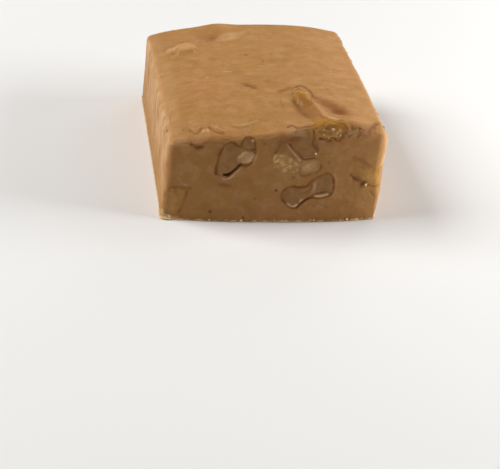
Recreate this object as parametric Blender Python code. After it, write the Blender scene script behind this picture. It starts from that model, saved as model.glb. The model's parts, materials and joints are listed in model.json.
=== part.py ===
"""A hand-cut square of maple walnut fudge, 50.8 mm wide, standing on its flat base.

X runs from left to right, Y from the front cut to the back cut, and Z up from the base.
The origin is the middle of the base. The block is one solid with a pocket for each piece of
walnut that shows at a cut or through the skin, and each walnut piece is a solid of its own,
sliced off level with the cut that it shows in.
"""

import math

import bmesh
import bpy
import numpy as np

MM = 0.001

# Driving dimensions of the block, in metres.
WIDTH = 50.8 * MM
DEPTH = 60.4 * MM  # over the bows of the front and back cuts
BODY_HEIGHT = 22.0 * MM  # nominal, before the skin's own heights are applied
FRONT_LEFT_HEIGHT = 21.3 * MM
FRONT_RIGHT_HEIGHT = 23.5 * MM
BACK_LEFT_HEIGHT = 17.9 * MM
BACK_RIGHT_HEIGHT = 20.6 * MM
FRONT_BOW = 1.7 * MM  # how far the front cut stands out in its middle
BACK_BOW = 0.6 * MM  # how far the back cut stands out in its middle
FRONT_CROWN = 3.4 * MM  # how far the skin rises in the middle of the front edge
BACK_CROWN = 2.3 * MM  # and of the back edge
BOW_SHARPNESS = 3  # 2 bows in an arc, and more keeps the middle flat
FRONT_RIGHT_FLARE = 0.75 * MM  # how far the front right corner stands out sideways
FLARE_RISE = 6.6 * MM  # height over which it comes to that from the base

# Radius of the shoulder that the skin makes at each top corner.
FRONT_LEFT_RADIUS = 1.9 * MM
FRONT_RIGHT_RADIUS = 3.2 * MM
BACK_LEFT_RADIUS = 1.2 * MM
BACK_RIGHT_RADIUS = 1.6 * MM
BASE_EDGE_RADIUS = 0.8 * MM
MIDDLE_TIGHTENING = 0.4  # share of the radius that is lost in the middle of the cuts
RADIUS_RISE = 14 * MM  # height over which the upright edges widen to the shoulder's radius
CUT_WAVER = 0.4 * MM  # how far into the block the knife wandered at most
CUT_WAVER_LENGTH = 17 * MM
SKIN_WAVER = 0.3 * MM
SKIN_WAVER_LENGTH = 12 * MM

# Steps of the block's surface between its rounded edges.
STEPS_X, STEPS_Y, STEPS_Z = 20, 23, 3
ROUNDED_ZONE = 3.2 * MM  # the steps are closer together within this of an edge
ROUNDED_STEPS = np.array([0.0, 0.2, 0.55])  # where, as shares of that zone
SHARP_ANGLE = 40  # degrees between faces that are shaded as a sharp rim
FLAT_ANGLE = 0.01  # degrees between base faces that are joined into one

# Walnut pieces.
POCKET_GAP = 0.3 * MM
LOBE_BLEND = 1.3 * MM  # how softly two lobes of a kernel run together
WRINKLE_DEPTH = 0.16 * MM
WRINKLE_LENGTH = 2.4 * MM
SEGMENT_LENGTH = 1.15 * MM  # steps round a kernel's outline
RINGS = 7  # steps from the inner to the outer end of a kernel
MARCH_STEPS = 40
REACH = 16 * MM  # no kernel is larger than this from its middle
SIDE_AXES = {"front": 1, "back": 1, "right": 0, "top": 2}

# Weights of the hash that the noise is read from, and the least squared length to divide by.
HASH_WEIGHTS = np.array([127.1, 311.7, 74.7])
HASH_SEED_WEIGHT = 19.19
HASH_SCALE = 43758.5453
TINY = 1e-12

FUDGE_COLOUR = (0.40, 0.215, 0.088, 1)
CUT_WALNUT_COLOUR = (0.20, 0.105, 0.038, 1)
GOLDEN_WALNUT_COLOUR = (0.34, 0.17, 0.045, 1)  # where a kernel's own skin shows
FUDGE_ROUGHNESS = 0.5
WALNUT_ROUGHNESS = 0.42
GOLDEN_KERNELS = ("walnut_top_sunk", "walnut_top_edge", "walnut_front_right_corner")

# Rises (positive) and dents (negative) of the skin:
# name: (x, y, half-length, half-width, turn in degrees, height), lengths in millimetres.
SKIN_FORMS = {
    "coated_kernel": (-17.0, 15.4, 3.0, 2.0, 0, 1.3),
    "brow_behind_coated_kernel": (-15.5, 21.5, 5.5, 3.0, 8, 0.4),
    "hollow_behind_coated_kernel": (-9.8, 21.8, 3.2, 2.6, 20, -0.9),
    "back_edge_knob": (-7.6, 28.4, 4.0, 2.4, 0, 0.8),
    "back_kernel_swell": (-5.3, 22.6, 2.4, 2.1, 0, 0.6),
    "middle_dip": (-1.0, 4.0, 11.0, 9.0, 0, -0.35),
    "ridge_over_kernel": (9.3, -21.4, 5.2, 1.6, 104, 0.8),
    "furrow_left_of_ridge": (6.1, -20.8, 5.0, 1.3, 108, -0.6),
    "furrow_right_of_ridge": (12.7, -19.8, 4.0, 1.7, 126, -0.6),
    "dimple_at_front_right": (15.4, -21.2, 2.6, 1.5, 30, -0.5),
    "front_edge_slump": (-7.0, -36.0, 13.0, 15.0, 0, -3.6),
    "front_left_droop": (-20.5, -31.5, 6.0, 6.0, 0, -1.6),
    "front_right_rise": (15.5, -30.5, 4.8, 4.5, 0, 1.2),
    "left_edge_slump": (-25.8, -8.0, 26.0, 1.8, 90, -0.7),
    "crinkled_lip": (-17.0, -27.8, 7.0, 1.3, 0, 0.4),
}

# Walnut pieces that show. Each lobe is (start, end, radius) in millimetres, and a point is
# (along the side, up or back, depth behind the surface).
KERNELS = {
    "walnut_front_left": ("front", [
        ((-12.4, 13.4, 0.8), (-12.2, 14.8, 0.8), 1.5),
        ((-11.8, 16.4, 0.9), (-11.1, 18.6, 0.9), 2.2),
        ((-7.1, 20.2, 0.9), (-7.0, 19.7, 0.8), 1.6),
        ((-8.8, 17.9, 0.8), (-7.1, 17.1, 0.8), 1.9),
    ]),
    "walnut_front_middle": ("front", [
        ((0.9, 19.6, 0.7), (1.1, 18.6, 0.8), 1.6),
        ((1.4, 16.3, 1.0), (3.3, 15.6, 1.0), 2.35),
        ((6.4, 15.1, 1.0), (7.8, 15.3, 1.0), 2.2),
    ]),
    "walnut_front_upper": ("front", [
        ((5.2, 23.6, 0.9), (6.7, 20.0, 0.9), 2.05),
    ]),
    "walnut_front_lower": ("front", [
        ((4.3, 6.9, 1.1), (4.4, 7.1, 1.1), 2.9),
        ((11.2, 9.6, 1.1), (11.3, 10.4, 1.1), 2.8),
        ((4.4, 7.0, 0.7), (11.2, 9.8, 0.7), 1.65),
    ]),
    "walnut_front_right_corner": ("front", [
        ((18.2, 14.7, 0.9), (20.4, 13.6, 1.2), 2.0),
        ((23.5, 11.9, 1.9), (23.9, 11.8, 2.4), 2.9),
    ]),
    "walnut_base_corner": ("front", [
        ((-21.6, 6.3, 0.9), (-22.2, 4.4, 0.9), 2.5),
    ]),
    "walnut_top_edge": ("front", [
        ((10.5, 24.3, 1.6), (12.6, 24.4, 1.8), 2.5),
    ]),
    "walnut_top_sunk": ("top", [
        ((7.3, -12.0, 1.2), (7.5, -17.2, 1.3), 2.1),
    ]),
    "walnut_right_front": ("right", [
        ((-11.0, 16.6, 0.9), (-8.6, 14.0, 1.2), 2.2),
        ((-5.4, 15.6, 1.0), (-7.0, 14.4, 1.2), 1.9),
    ]),
    "walnut_right_middle": ("right", [
        ((4.0, 7.4, 1.1), (9.6, 8.8, 1.0), 2.2),
    ]),
    "walnut_right_back": ("right", [
        ((17.6, 14.8, 0.9), (19.4, 12.6, 1.0), 1.9),
    ]),
    "walnut_back_right": ("back", [
        ((13.6, 14.6, 1.1), (17.0, 12.2, 1.1), 2.3),
    ]),
    "walnut_back_middle": ("back", [
        ((-3.4, 7.2, 1.0), (1.6, 8.6, 1.1), 2.2),
        ((2.0, 10.8, 1.1), (1.6, 9.8, 1.1), 1.8),
    ]),
    "walnut_back_left": ("back", [
        ((-17.6, 11.8, 1.0), (-14.6, 13.2, 1.1), 2.1),
    ]),
}


def hashed(cells, seed):
    """A fixed pseudo-random number from 0 to 1 for each whole-numbered cell."""
    mixed = cells @ HASH_WEIGHTS + seed * HASH_SEED_WEIGHT
    return np.modf(np.abs(np.sin(mixed) * HASH_SCALE))[0]


def smooth_noise(points, length, seed):
    """Noise from -1 to 1 that varies over about the given length."""
    scaled = np.asarray(points, float) / length
    cell = np.floor(scaled)
    part = scaled - cell
    ease = part * part * (3 - 2 * part)
    total = np.zeros(len(scaled))
    for corner in np.ndindex(2, 2, 2):
        share = np.prod(np.where(corner, ease, 1 - ease), axis=1)
        total += share * hashed(cell + corner, seed)
    return 2 * total - 1


def eased(value):
    """Smoothstep of a value clipped to 0..1."""
    value = np.clip(value, 0, 1)
    return value * value * (3 - 2 * value)


def bow_profile(x):
    """How much of a bow is lost towards the ends of a cut, from 0 to 1."""
    return np.clip(np.abs(2 * x / WIDTH), 0, 1) ** BOW_SHARPNESS


def bow_shift(x, y):
    """How far the bowed front and back cuts draw the block inwards at their ends."""
    front = FRONT_BOW * eased(-2 * y / DEPTH)
    back = BACK_BOW * eased(2 * y / DEPTH)
    return (front - back) * bow_profile(x)


def flare_shift(x, y, z):
    """How far the front right corner stands out sideways, above the base."""
    right = np.clip(2 * x / WIDTH, 0, 1) ** BOW_SHARPNESS
    front = 0.5 - np.clip(y / DEPTH, -0.5, 0.5)
    return FRONT_RIGHT_FLARE * right * front * np.clip(z / FLARE_RISE, 0, 1)


def skin_forms(x, y):
    """Height that the rises and dents of the skin add at x, y."""
    total = np.zeros_like(x)
    for centre_x, centre_y, length, width, turn, height in SKIN_FORMS.values():
        angle = math.radians(turn)
        dx, dy = x - centre_x * MM, y - centre_y * MM
        along = (dx * math.cos(angle) + dy * math.sin(angle)) / (length * MM)
        across = (dy * math.cos(angle) - dx * math.sin(angle)) / (width * MM)
        total += height * MM * np.exp(-(along**2 + across**2))
    return total


def between_corners(x, y, front_left, front_right, back_left, back_right):
    """A value given at the block's four corners, spread evenly between them."""
    u = np.clip(x / WIDTH + 0.5, 0, 1)
    v = np.clip(y / DEPTH + 0.5, 0, 1)
    front = front_left * (1 - u) + front_right * u
    back = back_left * (1 - u) + back_right * u
    return front * (1 - v) + back * v


def skin_height(x, y):
    """Height of the block's skin above the base."""
    corners = FRONT_LEFT_HEIGHT, FRONT_RIGHT_HEIGHT, BACK_LEFT_HEIGHT, BACK_RIGHT_HEIGHT
    crown = between_corners(x, y, FRONT_CROWN, FRONT_CROWN, BACK_CROWN, BACK_CROWN)
    crown *= 1 - bow_profile(x)
    flat = np.stack([x, y, np.zeros_like(x)], axis=1)
    waver = SKIN_WAVER * smooth_noise(flat, SKIN_WAVER_LENGTH, seed=3)
    return between_corners(x, y, *corners) + crown + waver + skin_forms(x, y)


def edge_radius(points):
    """Radius that the block's edges are rounded to, near each point."""
    x, y, z = points.T
    corners = FRONT_LEFT_RADIUS, FRONT_RIGHT_RADIUS, BACK_LEFT_RADIUS, BACK_RIGHT_RADIUS
    top = between_corners(x, y, *corners)
    top *= 1 - MIDDLE_TIGHTENING * (1 - bow_profile(x))
    return BASE_EDGE_RADIUS + (top - BASE_EDGE_RADIUS) * eased(z / RADIUS_RISE)


def block_surface(points):
    """Points of a plain box brought onto the block's real surface."""
    low = np.array([-WIDTH / 2, -DEPTH / 2, 0])
    high = np.array([WIDTH / 2, DEPTH / 2, BODY_HEIGHT])
    radius = edge_radius(points)[:, None]
    core = np.clip(points, low + radius, high - radius)
    outward = points - core
    outward /= np.linalg.norm(outward, axis=1, keepdims=True)
    placed = core + outward * radius
    waver = CUT_WAVER * (smooth_noise(placed, CUT_WAVER_LENGTH, seed=11) - 1) / 2
    x, y, z = placed.T
    return np.stack([
        x + waver * outward[:, 0] + flare_shift(x, y, z),
        y + waver * outward[:, 1] + bow_shift(x, y),
        z / BODY_HEIGHT * skin_height(x, y),
    ], axis=1)


def stops(low, high, steps):
    """Places of the surface lattice along one side, close together at the rounded ends."""
    ends = ROUNDED_STEPS * ROUNDED_ZONE
    inner = np.linspace(low + ROUNDED_ZONE, high - ROUNDED_ZONE, steps)
    return np.concatenate([low + ends, inner, high - ends[::-1]])


def block_mesh():
    """The closed surface of the whole block, before its pockets are cut."""
    axes = (
        stops(-WIDTH / 2, WIDTH / 2, STEPS_X),
        stops(-DEPTH / 2, DEPTH / 2, STEPS_Y),
        stops(0, BODY_HEIGHT, STEPS_Z),
    )
    last = [len(axis) - 1 for axis in axes]
    index, points, faces = {}, [], []

    def vertex(key):
        if key not in index:
            index[key] = len(points)
            points.append([axes[axis][key[axis]] for axis in range(3)])
        return index[key]

    for axis in range(3):
        one, two = (axis + 1) % 3, (axis + 2) % 3
        for end in (0, last[axis]):
            for i in range(last[one]):
                for j in range(last[two]):
                    ring = []
                    for step_i, step_j in ((0, 0), (1, 0), (1, 1), (0, 1)):
                        key = [0, 0, 0]
                        key[axis], key[one], key[two] = end, i + step_i, j + step_j
                        ring.append(vertex(tuple(key)))
                    faces.append(ring if end else ring[::-1])
    return block_surface(np.array(points)), faces


def lobe_distance(points, lobes):
    """Signed distance to the kernel's lobes, which run softly together."""
    total = None
    for start, end, radius in lobes:
        along = end - start
        share = np.clip((points - start) @ along / max(along @ along, TINY), 0, 1)
        distance = np.linalg.norm(points - start - share[:, None] * along, axis=1) - radius
        if total is None:
            total = distance
            continue
        blend = np.clip(0.5 + 0.5 * (total - distance) / LOBE_BLEND, 0, 1)
        total = total + (distance - total) * blend - LOBE_BLEND * blend * (1 - blend)
    return total


def on_side(side, point):
    """A point given on one side of the block, in millimetres, as a place in metres."""
    along, up, depth = (value * MM for value in point)
    if side in ("front", "back"):
        face = -DEPTH / 2 if side == "front" else DEPTH / 2
        inward = depth if side == "front" else -depth
        return np.array([along, face + bow_shift(along, face) + inward, up])
    if side == "right":
        return np.array([WIDTH / 2 - depth, along, up])
    skin = skin_height(np.array([along]), np.array([up]))[0]
    return np.array([along, up, skin - depth])


def kernel_directions(axis, segments):
    """Unit directions in rings round an axis, and then the two along it."""
    one, two = (axis + 1) % 3, (axis + 2) % 3
    polar = math.pi * np.arange(1, RINGS)[:, None] / RINGS
    turn = 2 * math.pi * np.arange(segments)[None, :] / segments
    directions = np.zeros((RINGS - 1, segments, 3))
    directions[..., axis] = np.cos(polar)
    directions[..., one] = np.sin(polar) * np.cos(turn)
    directions[..., two] = np.sin(polar) * np.sin(turn)
    poles = np.outer([1, -1], np.eye(3)[axis])
    return np.concatenate([directions.reshape(-1, 3), poles])


def kernel_faces(segments):
    """Quads between the rings, and a fan of triangles at each end."""
    north = (RINGS - 1) * segments
    south, last_ring = north + 1, north - segments
    faces = []
    for here in range(segments):
        after = (here + 1) % segments
        faces.append([north, here, after])
        faces.append([south, last_ring + after, last_ring + here])
        for ring in range(0, last_ring, segments):
            below = ring + segments
            faces.append([ring + here, below + here, below + after, ring + after])
    return faces


def kernel_mesh(side, lobes, swell):
    """A kernel's surface, swollen by a margin, as rings round an axis through the cut."""
    placed = [(on_side(side, a), on_side(side, b), radius * MM) for a, b, radius in lobes]
    ends = np.array([point for lobe in placed for point in lobe[:2]])
    middle = ends.mean(axis=0)
    radii = np.repeat([radius for _, _, radius in placed], 2)
    span = (np.linalg.norm(ends - middle, axis=1) + radii).max()
    segments = round(2 * math.pi * span / SEGMENT_LENGTH)
    directions = kernel_directions(SIDE_AXES[side], segments)
    reach = np.full(len(directions), REACH)
    for _ in range(MARCH_STEPS):
        reach -= lobe_distance(middle + directions * reach[:, None], placed) - swell
    points = middle + directions * reach[:, None]
    wrinkle = WRINKLE_DEPTH * smooth_noise(points, WRINKLE_LENGTH, seed=29)
    return points + directions * wrinkle[:, None], kernel_faces(segments)


def material(name, colour, roughness):
    """A plain Principled material."""
    made = bpy.data.materials.new(name)
    made.use_nodes = True
    shader = made.node_tree.nodes["Principled BSDF"]
    shader.inputs["Base Color"].default_value = colour
    shader.inputs["Roughness"].default_value = roughness
    shader.inputs["Metallic"].default_value = 0.0
    return made


def solid(name, points, faces, collection, finish=None):
    """An object with outward faces, shaded smooth but for its sharp rims."""
    mesh = bpy.data.meshes.new(name)
    mesh.from_pydata([tuple(point) for point in points], [], faces)
    shape = bmesh.new()
    shape.from_mesh(mesh)
    bmesh.ops.recalc_face_normals(shape, faces=shape.faces)
    shape.to_mesh(mesh)
    shape.free()
    mesh.shade_smooth()
    mesh.set_sharp_from_angle(angle=math.radians(SHARP_ANGLE))
    if finish:
        mesh.materials.append(finish)
    made = bpy.data.objects.new(name, mesh)
    collection.objects.link(made)
    return made


def flatten_base(made):
    """Joins the coplanar faces under the block into one flat face."""
    shape = bmesh.new()
    shape.from_mesh(made.data)
    flat = [v for v in shape.verts if v.co.z == 0]
    inside = [e for e in shape.edges if all(v in flat for v in e.verts)]
    bmesh.ops.dissolve_limit(
        shape, angle_limit=math.radians(FLAT_ANGLE), verts=flat, edges=inside
    )
    shape.to_mesh(made.data)
    shape.free()


def helper(made):
    """Marks an object as a guide or cutter that isn't part of the fudge."""
    made.hide_render = True
    made.display_type = "WIRE"


def boolean(made, operation, name, **operand):
    """Adds an exact Boolean to an object."""
    cut = made.modifiers.new(name, "BOOLEAN")
    cut.operation = operation
    cut.solver = "EXACT"
    for key, value in operand.items():
        setattr(cut, key, value)


def build():
    """Makes the fudge block with its pockets, and the walnut pieces in them."""
    for old in list(bpy.data.objects):
        bpy.data.objects.remove(old)
    scene = bpy.context.scene.collection
    pockets = bpy.data.collections.new("walnut_pockets")
    scene.children.link(pockets)

    points, faces = block_mesh()
    whole = solid("whole_block", points, faces, scene)
    flatten_base(whole)
    helper(whole)
    fudge = material("fudge", FUDGE_COLOUR, FUDGE_ROUGHNESS)
    block = solid("fudge_block", points, faces, scene, fudge)
    flatten_base(block)

    for name, (side, lobes) in KERNELS.items():
        golden = name in GOLDEN_KERNELS
        colour = GOLDEN_WALNUT_COLOUR if golden else CUT_WALNUT_COLOUR
        finish = material(name, colour, WALNUT_ROUGHNESS)
        piece = solid(name, *kernel_mesh(side, lobes, 0), scene, finish)
        if side != "top":
            boolean(piece, "INTERSECT", "sliced_with_block", object=whole)
        cutter = solid(name + "_pocket", *kernel_mesh(side, lobes, POCKET_GAP), pockets)
        helper(cutter)
    boolean(block, "DIFFERENCE", "pockets", operand_type="COLLECTION", collection=pockets)


build()
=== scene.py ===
"""Looks of a hand-cut square of maple walnut fudge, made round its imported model.

Lengths are in millimetres until a mesh is made. X runs from left to right, Y from the front
cut to the back cut, and Z up from the base. The block and the walnut pieces are shaped by the
same sizes as the model's solids, with a finer surface, and each stands where its solid is.
"""

import math
from typing import NamedTuple

import bmesh
import bpy
import numpy as np
from mathutils import Matrix, Vector
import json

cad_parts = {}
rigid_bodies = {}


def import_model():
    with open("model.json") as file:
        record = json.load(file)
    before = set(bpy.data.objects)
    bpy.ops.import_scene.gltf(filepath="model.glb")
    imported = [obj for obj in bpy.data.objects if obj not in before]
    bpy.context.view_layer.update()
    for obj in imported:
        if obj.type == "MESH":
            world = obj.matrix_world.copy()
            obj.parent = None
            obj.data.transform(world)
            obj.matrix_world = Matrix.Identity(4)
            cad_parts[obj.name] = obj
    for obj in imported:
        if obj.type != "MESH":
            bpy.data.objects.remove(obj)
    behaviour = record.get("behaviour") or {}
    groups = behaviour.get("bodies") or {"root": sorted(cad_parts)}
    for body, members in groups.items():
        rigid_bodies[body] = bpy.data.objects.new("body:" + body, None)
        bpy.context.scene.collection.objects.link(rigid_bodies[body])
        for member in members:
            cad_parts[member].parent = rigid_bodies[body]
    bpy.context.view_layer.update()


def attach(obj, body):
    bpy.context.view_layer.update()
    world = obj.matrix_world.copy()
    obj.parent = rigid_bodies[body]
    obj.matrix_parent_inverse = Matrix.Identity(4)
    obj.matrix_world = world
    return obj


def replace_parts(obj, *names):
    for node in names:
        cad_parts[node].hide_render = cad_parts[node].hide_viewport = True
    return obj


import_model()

MM = 0.001

# ---------------------------------------------------------------- sizes shared with the model

WIDTH = 50.8
DEPTH = 60.4
BODY_HEIGHT = 22.0
FRONT_LEFT_HEIGHT = 21.3
FRONT_RIGHT_HEIGHT = 23.5
BACK_LEFT_HEIGHT = 17.9
BACK_RIGHT_HEIGHT = 20.6
FRONT_BOW = 1.7
BACK_BOW = 0.6
FRONT_CROWN = 3.4
BACK_CROWN = 2.3
BOW_SHARPNESS = 3
FRONT_RIGHT_FLARE = 0.75  # how far the front right corner stands out sideways
FLARE_RISE = 6.6  # height over which it comes to that from the base
FRONT_LEFT_RADIUS = 1.9
FRONT_RIGHT_RADIUS = 3.2
BACK_LEFT_RADIUS = 1.2
BACK_RIGHT_RADIUS = 1.6
BASE_EDGE_RADIUS = 0.8
MIDDLE_TIGHTENING = 0.4  # share of the radius that is lost in the middle of the cuts
RADIUS_RISE = 14  # height over which the upright edges widen to the shoulder's radius
CUT_WAVER = 0.4
CUT_WAVER_LENGTH = 17
SKIN_WAVER = 0.3
SKIN_WAVER_LENGTH = 12

# Rises (positive) and dents (negative) of the skin:
# name: (x, y, half-length, half-width, turn in degrees, height).
SKIN_FORMS = {
    "brow_behind_coated_kernel": (-15.5, 21.5, 5.5, 3.0, 8, 0.4),
    "hollow_behind_coated_kernel": (-9.8, 21.8, 3.2, 2.6, 20, -0.9),
    "back_edge_knob": (-7.6, 28.4, 4.0, 2.4, 0, 0.8),
    "back_kernel_swell": (-5.3, 22.6, 2.4, 2.1, 0, 0.6),
    "middle_dip": (-1.0, 4.0, 11.0, 9.0, 0, -0.35),
    "ridge_over_kernel": (9.3, -21.4, 5.2, 1.6, 104, 0.8),
    "furrow_left_of_ridge": (6.1, -20.8, 5.0, 1.3, 108, -0.6),
    "furrow_right_of_ridge": (12.7, -19.8, 4.0, 1.7, 126, -0.6),
    "dimple_at_front_right": (15.4, -21.2, 2.6, 1.5, 30, -0.5),
    "front_edge_slump": (-7.0, -36.0, 13.0, 15.0, 0, -3.6),
    "front_left_droop": (-20.5, -31.5, 6.0, 6.0, 0, -1.6),
    "front_right_rise": (15.5, -30.5, 4.8, 4.5, 0, 1.2),
    "left_edge_slump": (-25.8, -8.0, 26.0, 1.8, 90, -0.7),
    "crinkled_lip": (-17.0, -27.8, 7.0, 1.3, 0, 0.4),
}

# Lumps of the skin with a steep side: name: (outline, front height, back height, slope's width).
LUMPS = {
    "coated_kernel": ([
        (-19.4, 14.4), (-19.0, 16.6), (-18.1, 18.2), (-16.4, 18.8), (-14.9, 17.8), (-14.2, 15.8),
        (-14.0, 14.2), (-15.0, 13.2), (-17.0, 13.0), (-18.6, 13.3),
    ], 1.2, 0.75, 1.3),
    "coated_kernel_lobe": ([
        (-21.2, 15.8), (-20.8, 17.6), (-19.2, 18.2), (-18.2, 16.8), (-18.6, 14.8), (-20.2, 14.4),
    ], 0.7, 0.35, 1.3),
}

# Weights of the hash that the noise is read from.
HASH_WEIGHTS = np.array([127.1, 311.7, 74.7])
HASH_SEED_WEIGHT = 19.19
HASH_SCALE = 43758.5453
ROUGH_NOISE_REACH = 1.5  # about how far the octaves of rough noise add up to
TINY = 1e-12

# ---------------------------------------------------------------- detail of the surface

COARSE_STEP = 0.65  # of the block's lattice, before it is refined near its features
EDGE_STEP = 0.35  # and near the block's edges
EDGE_ZONE = 3.15
BASE_RING = 3  # cells of the base next to its edges, before one face spans the rest
FRONT_REACH = 2.0  # the front is refined as far as this round its edges
PATCH_REACH = 2.0  # and a rough patch as far as this from its side
PATCH_MARGIN = 1.1  # of a rough patch's half-sizes
FINE_REACH = 0.40  # the lattice is finest within this of a mark or an outline
SHARP_ANGLE = 50  # degrees between faces that are shaded as a sharp rim
FAR = 3.0  # distances are only worked out up to this
OUTLINE_STEP = 0.15  # along a kernel's outline
PATH_STEP = 0.3  # along a mark or a lump's outline
SHOULDER_LIMIT = 0.7071  # sine of how far up a rounded edge the places of a cut reach
SKIN_DEPTH = (0.1, 0.4)  # relief is full down to the first and ends at the second

# Which two axes a side's places are read along, and which way the side faces.
SIDES = {
    "top": ((0, 1), (0, 0, 1)),
    "front": ((0, 2), (0, -1, 0)),
    "back": ((0, 2), (0, 1, 0)),
    "left": ((1, 2), (-1, 0, 0)),
    "right": ((1, 2), (1, 0, 0)),
}

# Outlines of the kernels that show. A point is (along the side, up or back).
FRONT_LEFT_OUTLINE = [
    (-13.9, 14.0), (-13.7, 15.9), (-13.4, 18.0), (-12.9, 19.6), (-12.1, 20.7), (-11.1, 21.2),
    (-10.2, 20.9), (-9.4, 20.3), (-8.8, 20.4), (-8.6, 21.3), (-8.2, 22.2), (-7.4, 22.6),
    (-6.4, 22.4), (-5.7, 21.4), (-5.4, 19.9), (-5.4, 18.3), (-5.7, 16.8), (-6.3, 15.6),
    (-7.3, 15.0), (-8.6, 15.2), (-10.9, 12.4), (-12.7, 11.7), (-13.7, 12.7),
]
FRONT_MIDDLE_OUTLINE = [
    (-0.4, 20.9), (0.6, 21.4), (1.7, 20.9), (2.7, 19.6), (4.0, 17.9), (5.2, 16.7), (6.9, 17.2),
    (8.6, 17.3), (9.8, 16.4), (10.1, 15.2), (9.5, 14.0), (7.9, 13.2), (6.2, 12.8), (4.9, 13.3),
    (3.3, 13.4), (1.2, 13.7), (-0.4, 15.1), (-1.1, 17.0), (-0.9, 19.1),
]
FRONT_UPPER_OUTLINE = [
    (2.6, 21.6), (3.5, 20.0), (4.8, 18.3), (5.9, 17.65), (7.6, 17.8), (8.7, 18.5), (9.0, 19.9),
    (8.5, 21.4), (7.4, 22.4), (6.6, 23.6), (6.4, 24.6), (5.4, 24.8), (3.6, 24.5), (3.2, 24.0),
    (3.0, 22.7),
]
FRONT_LOWER_OUTLINE = [
    (1.7, 7.4), (2.2, 6.2), (3.2, 5.0), (4.2, 4.1), (5.6, 3.9), (6.7, 5.0), (7.9, 6.3),
    (9.3, 6.7), (10.6, 6.5), (12.1, 6.7), (13.4, 7.5), (13.9, 8.9), (13.7, 11.2), (12.9, 12.8),
    (11.5, 13.3), (9.8, 12.4), (8.5, 11.4), (7.8, 10.2), (6.7, 9.7), (5.4, 9.7), (4.3, 9.9),
    (3.1, 9.6), (2.1, 8.8),
]
RIGHT_CORNER_OUTLINE = [
    (16.5, 15.4), (17.6, 17.0), (19.7, 16.3), (21.9, 14.8), (24.2, 14.2), (26.6, 14.0),
    (27.6, 11.6), (26.6, 9.3), (24.8, 9.1), (21.4, 9.8), (19.2, 11.3), (17.2, 12.7),
]
BASE_CORNER_OUTLINE = [
    (-25.1, 5.6), (-24.3, 7.6), (-22.9, 8.7), (-20.9, 8.8), (-19.9, 8.0), (-20.1, 5.9),
    (-20.7, 3.7), (-21.4, 2.2), (-22.9, 1.5), (-24.4, 1.7), (-25.2, 3.2),
]
TOP_EDGE_OUTLINE = [
    (6.9, 25.2), (7.4, 23.6), (8.3, 22.6), (9.2, 22.9), (10.2, 22.3), (11.2, 22.0), (12.5, 22.4),
    (13.8, 23.3), (14.5, 24.8), (14.3, 26.8), (12.6, 28.2), (10.5, 28.6), (8.4, 28.2),
    (7.1, 27.0),
]
TOP_SUNK_OUTLINE = [
    (5.2, -12.4), (5.9, -10.4), (7.2, -9.3), (8.6, -9.9), (9.6, -11.8), (9.9, -14.0),
    (9.7, -16.4), (9.0, -18.6), (7.9, -19.8), (6.5, -20.1), (5.5, -18.8), (5.1, -16.0),
]


def turned(flat, degrees):
    """Places along and across a direction that is turned by degrees."""
    angle = math.radians(degrees)
    along = flat[:, 0] * math.cos(angle) + flat[:, 1] * math.sin(angle)
    across = flat[:, 1] * math.cos(angle) - flat[:, 0] * math.sin(angle)
    return along, across


def moved(outline, centre, turn, size):
    """A copy of an outline about another centre, turned by degrees and scaled."""
    flat = np.array(outline)
    return np.stack(turned(flat - flat.mean(axis=0), -turn), axis=1) * size + np.array(centre)


def on(side, entries):
    """The entries of a table with their side before their own fields."""
    return {name: (side, *fields) for name, fields in entries.items()}


# Kernels that show on each side: name: (outline, depth).
KERNELS = on("front", {
    "walnut_front_left": (FRONT_LEFT_OUTLINE, 3.1),
    "walnut_front_middle": (FRONT_MIDDLE_OUTLINE, 3.2),
    "walnut_front_upper": (FRONT_UPPER_OUTLINE, 2.9),
    "walnut_front_lower": (FRONT_LOWER_OUTLINE, 3.6),
    "walnut_front_right_corner": (RIGHT_CORNER_OUTLINE, 4.2),
    "walnut_base_corner": (BASE_CORNER_OUTLINE, 3.3),
    "walnut_top_edge": (TOP_EDGE_OUTLINE, 4.4),
}) | on("top", {
    "walnut_top_sunk": (TOP_SUNK_OUTLINE, 3.2),
}) | on("right", {
    "walnut_right_front": (moved(FRONT_LEFT_OUTLINE, (-8.2, 15.2), 72, 0.85), 3.0),
    "walnut_right_middle": (moved(FRONT_LOWER_OUTLINE, (6.8, 8.1), -22, 0.78), 3.1),
    "walnut_right_back": (moved(FRONT_UPPER_OUTLINE, (18.5, 13.7), 28, 0.7), 2.7),
}) | on("back", {
    "walnut_back_right": (moved(FRONT_MIDDLE_OUTLINE, (15.3, 13.4), 200, 0.74), 3.2),
    "walnut_back_middle": (moved(FRONT_LOWER_OUTLINE, (-0.6, 8.8), 168, 0.82), 3.0),
    "walnut_back_left": (moved(FRONT_LEFT_OUTLINE, (-16.1, 12.5), -62, 0.66), 2.9),
})
GOLDEN_KERNELS = ("walnut_top_sunk", "walnut_top_edge", "walnut_front_right_corner")
# How golden a kernel is all over, and how clear its dark rim is, where that isn't 0 and 1.
KERNEL_GOLD = {
    "walnut_top_sunk": 1.0, "walnut_top_edge": 0.9, "walnut_base_corner": 0.65,
    "walnut_front_middle": 0.25, "walnut_front_right_corner": 0.4,
}
RIM_STRENGTH = {
    "walnut_top_edge": 0.15, "walnut_base_corner": 0.1, "walnut_front_right_corner": 0.0,
    "walnut_top_sunk": 0.35, "walnut_front_middle": 0.25, "walnut_front_upper": 0.2,
}


class Look(NamedTuple):
    """What a feature does to the surface: relief and roughness in mm, and tints up to 1."""

    relief: float = 0.0
    rough: float = 0.0
    dark: float = 0.0
    pale: float = 0.0
    stain: float = 0.0
    gold: float = 0.0
    torn: float = 0.0


TINTS = ("dark", "pale", "stain", "gold", "torn")

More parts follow.
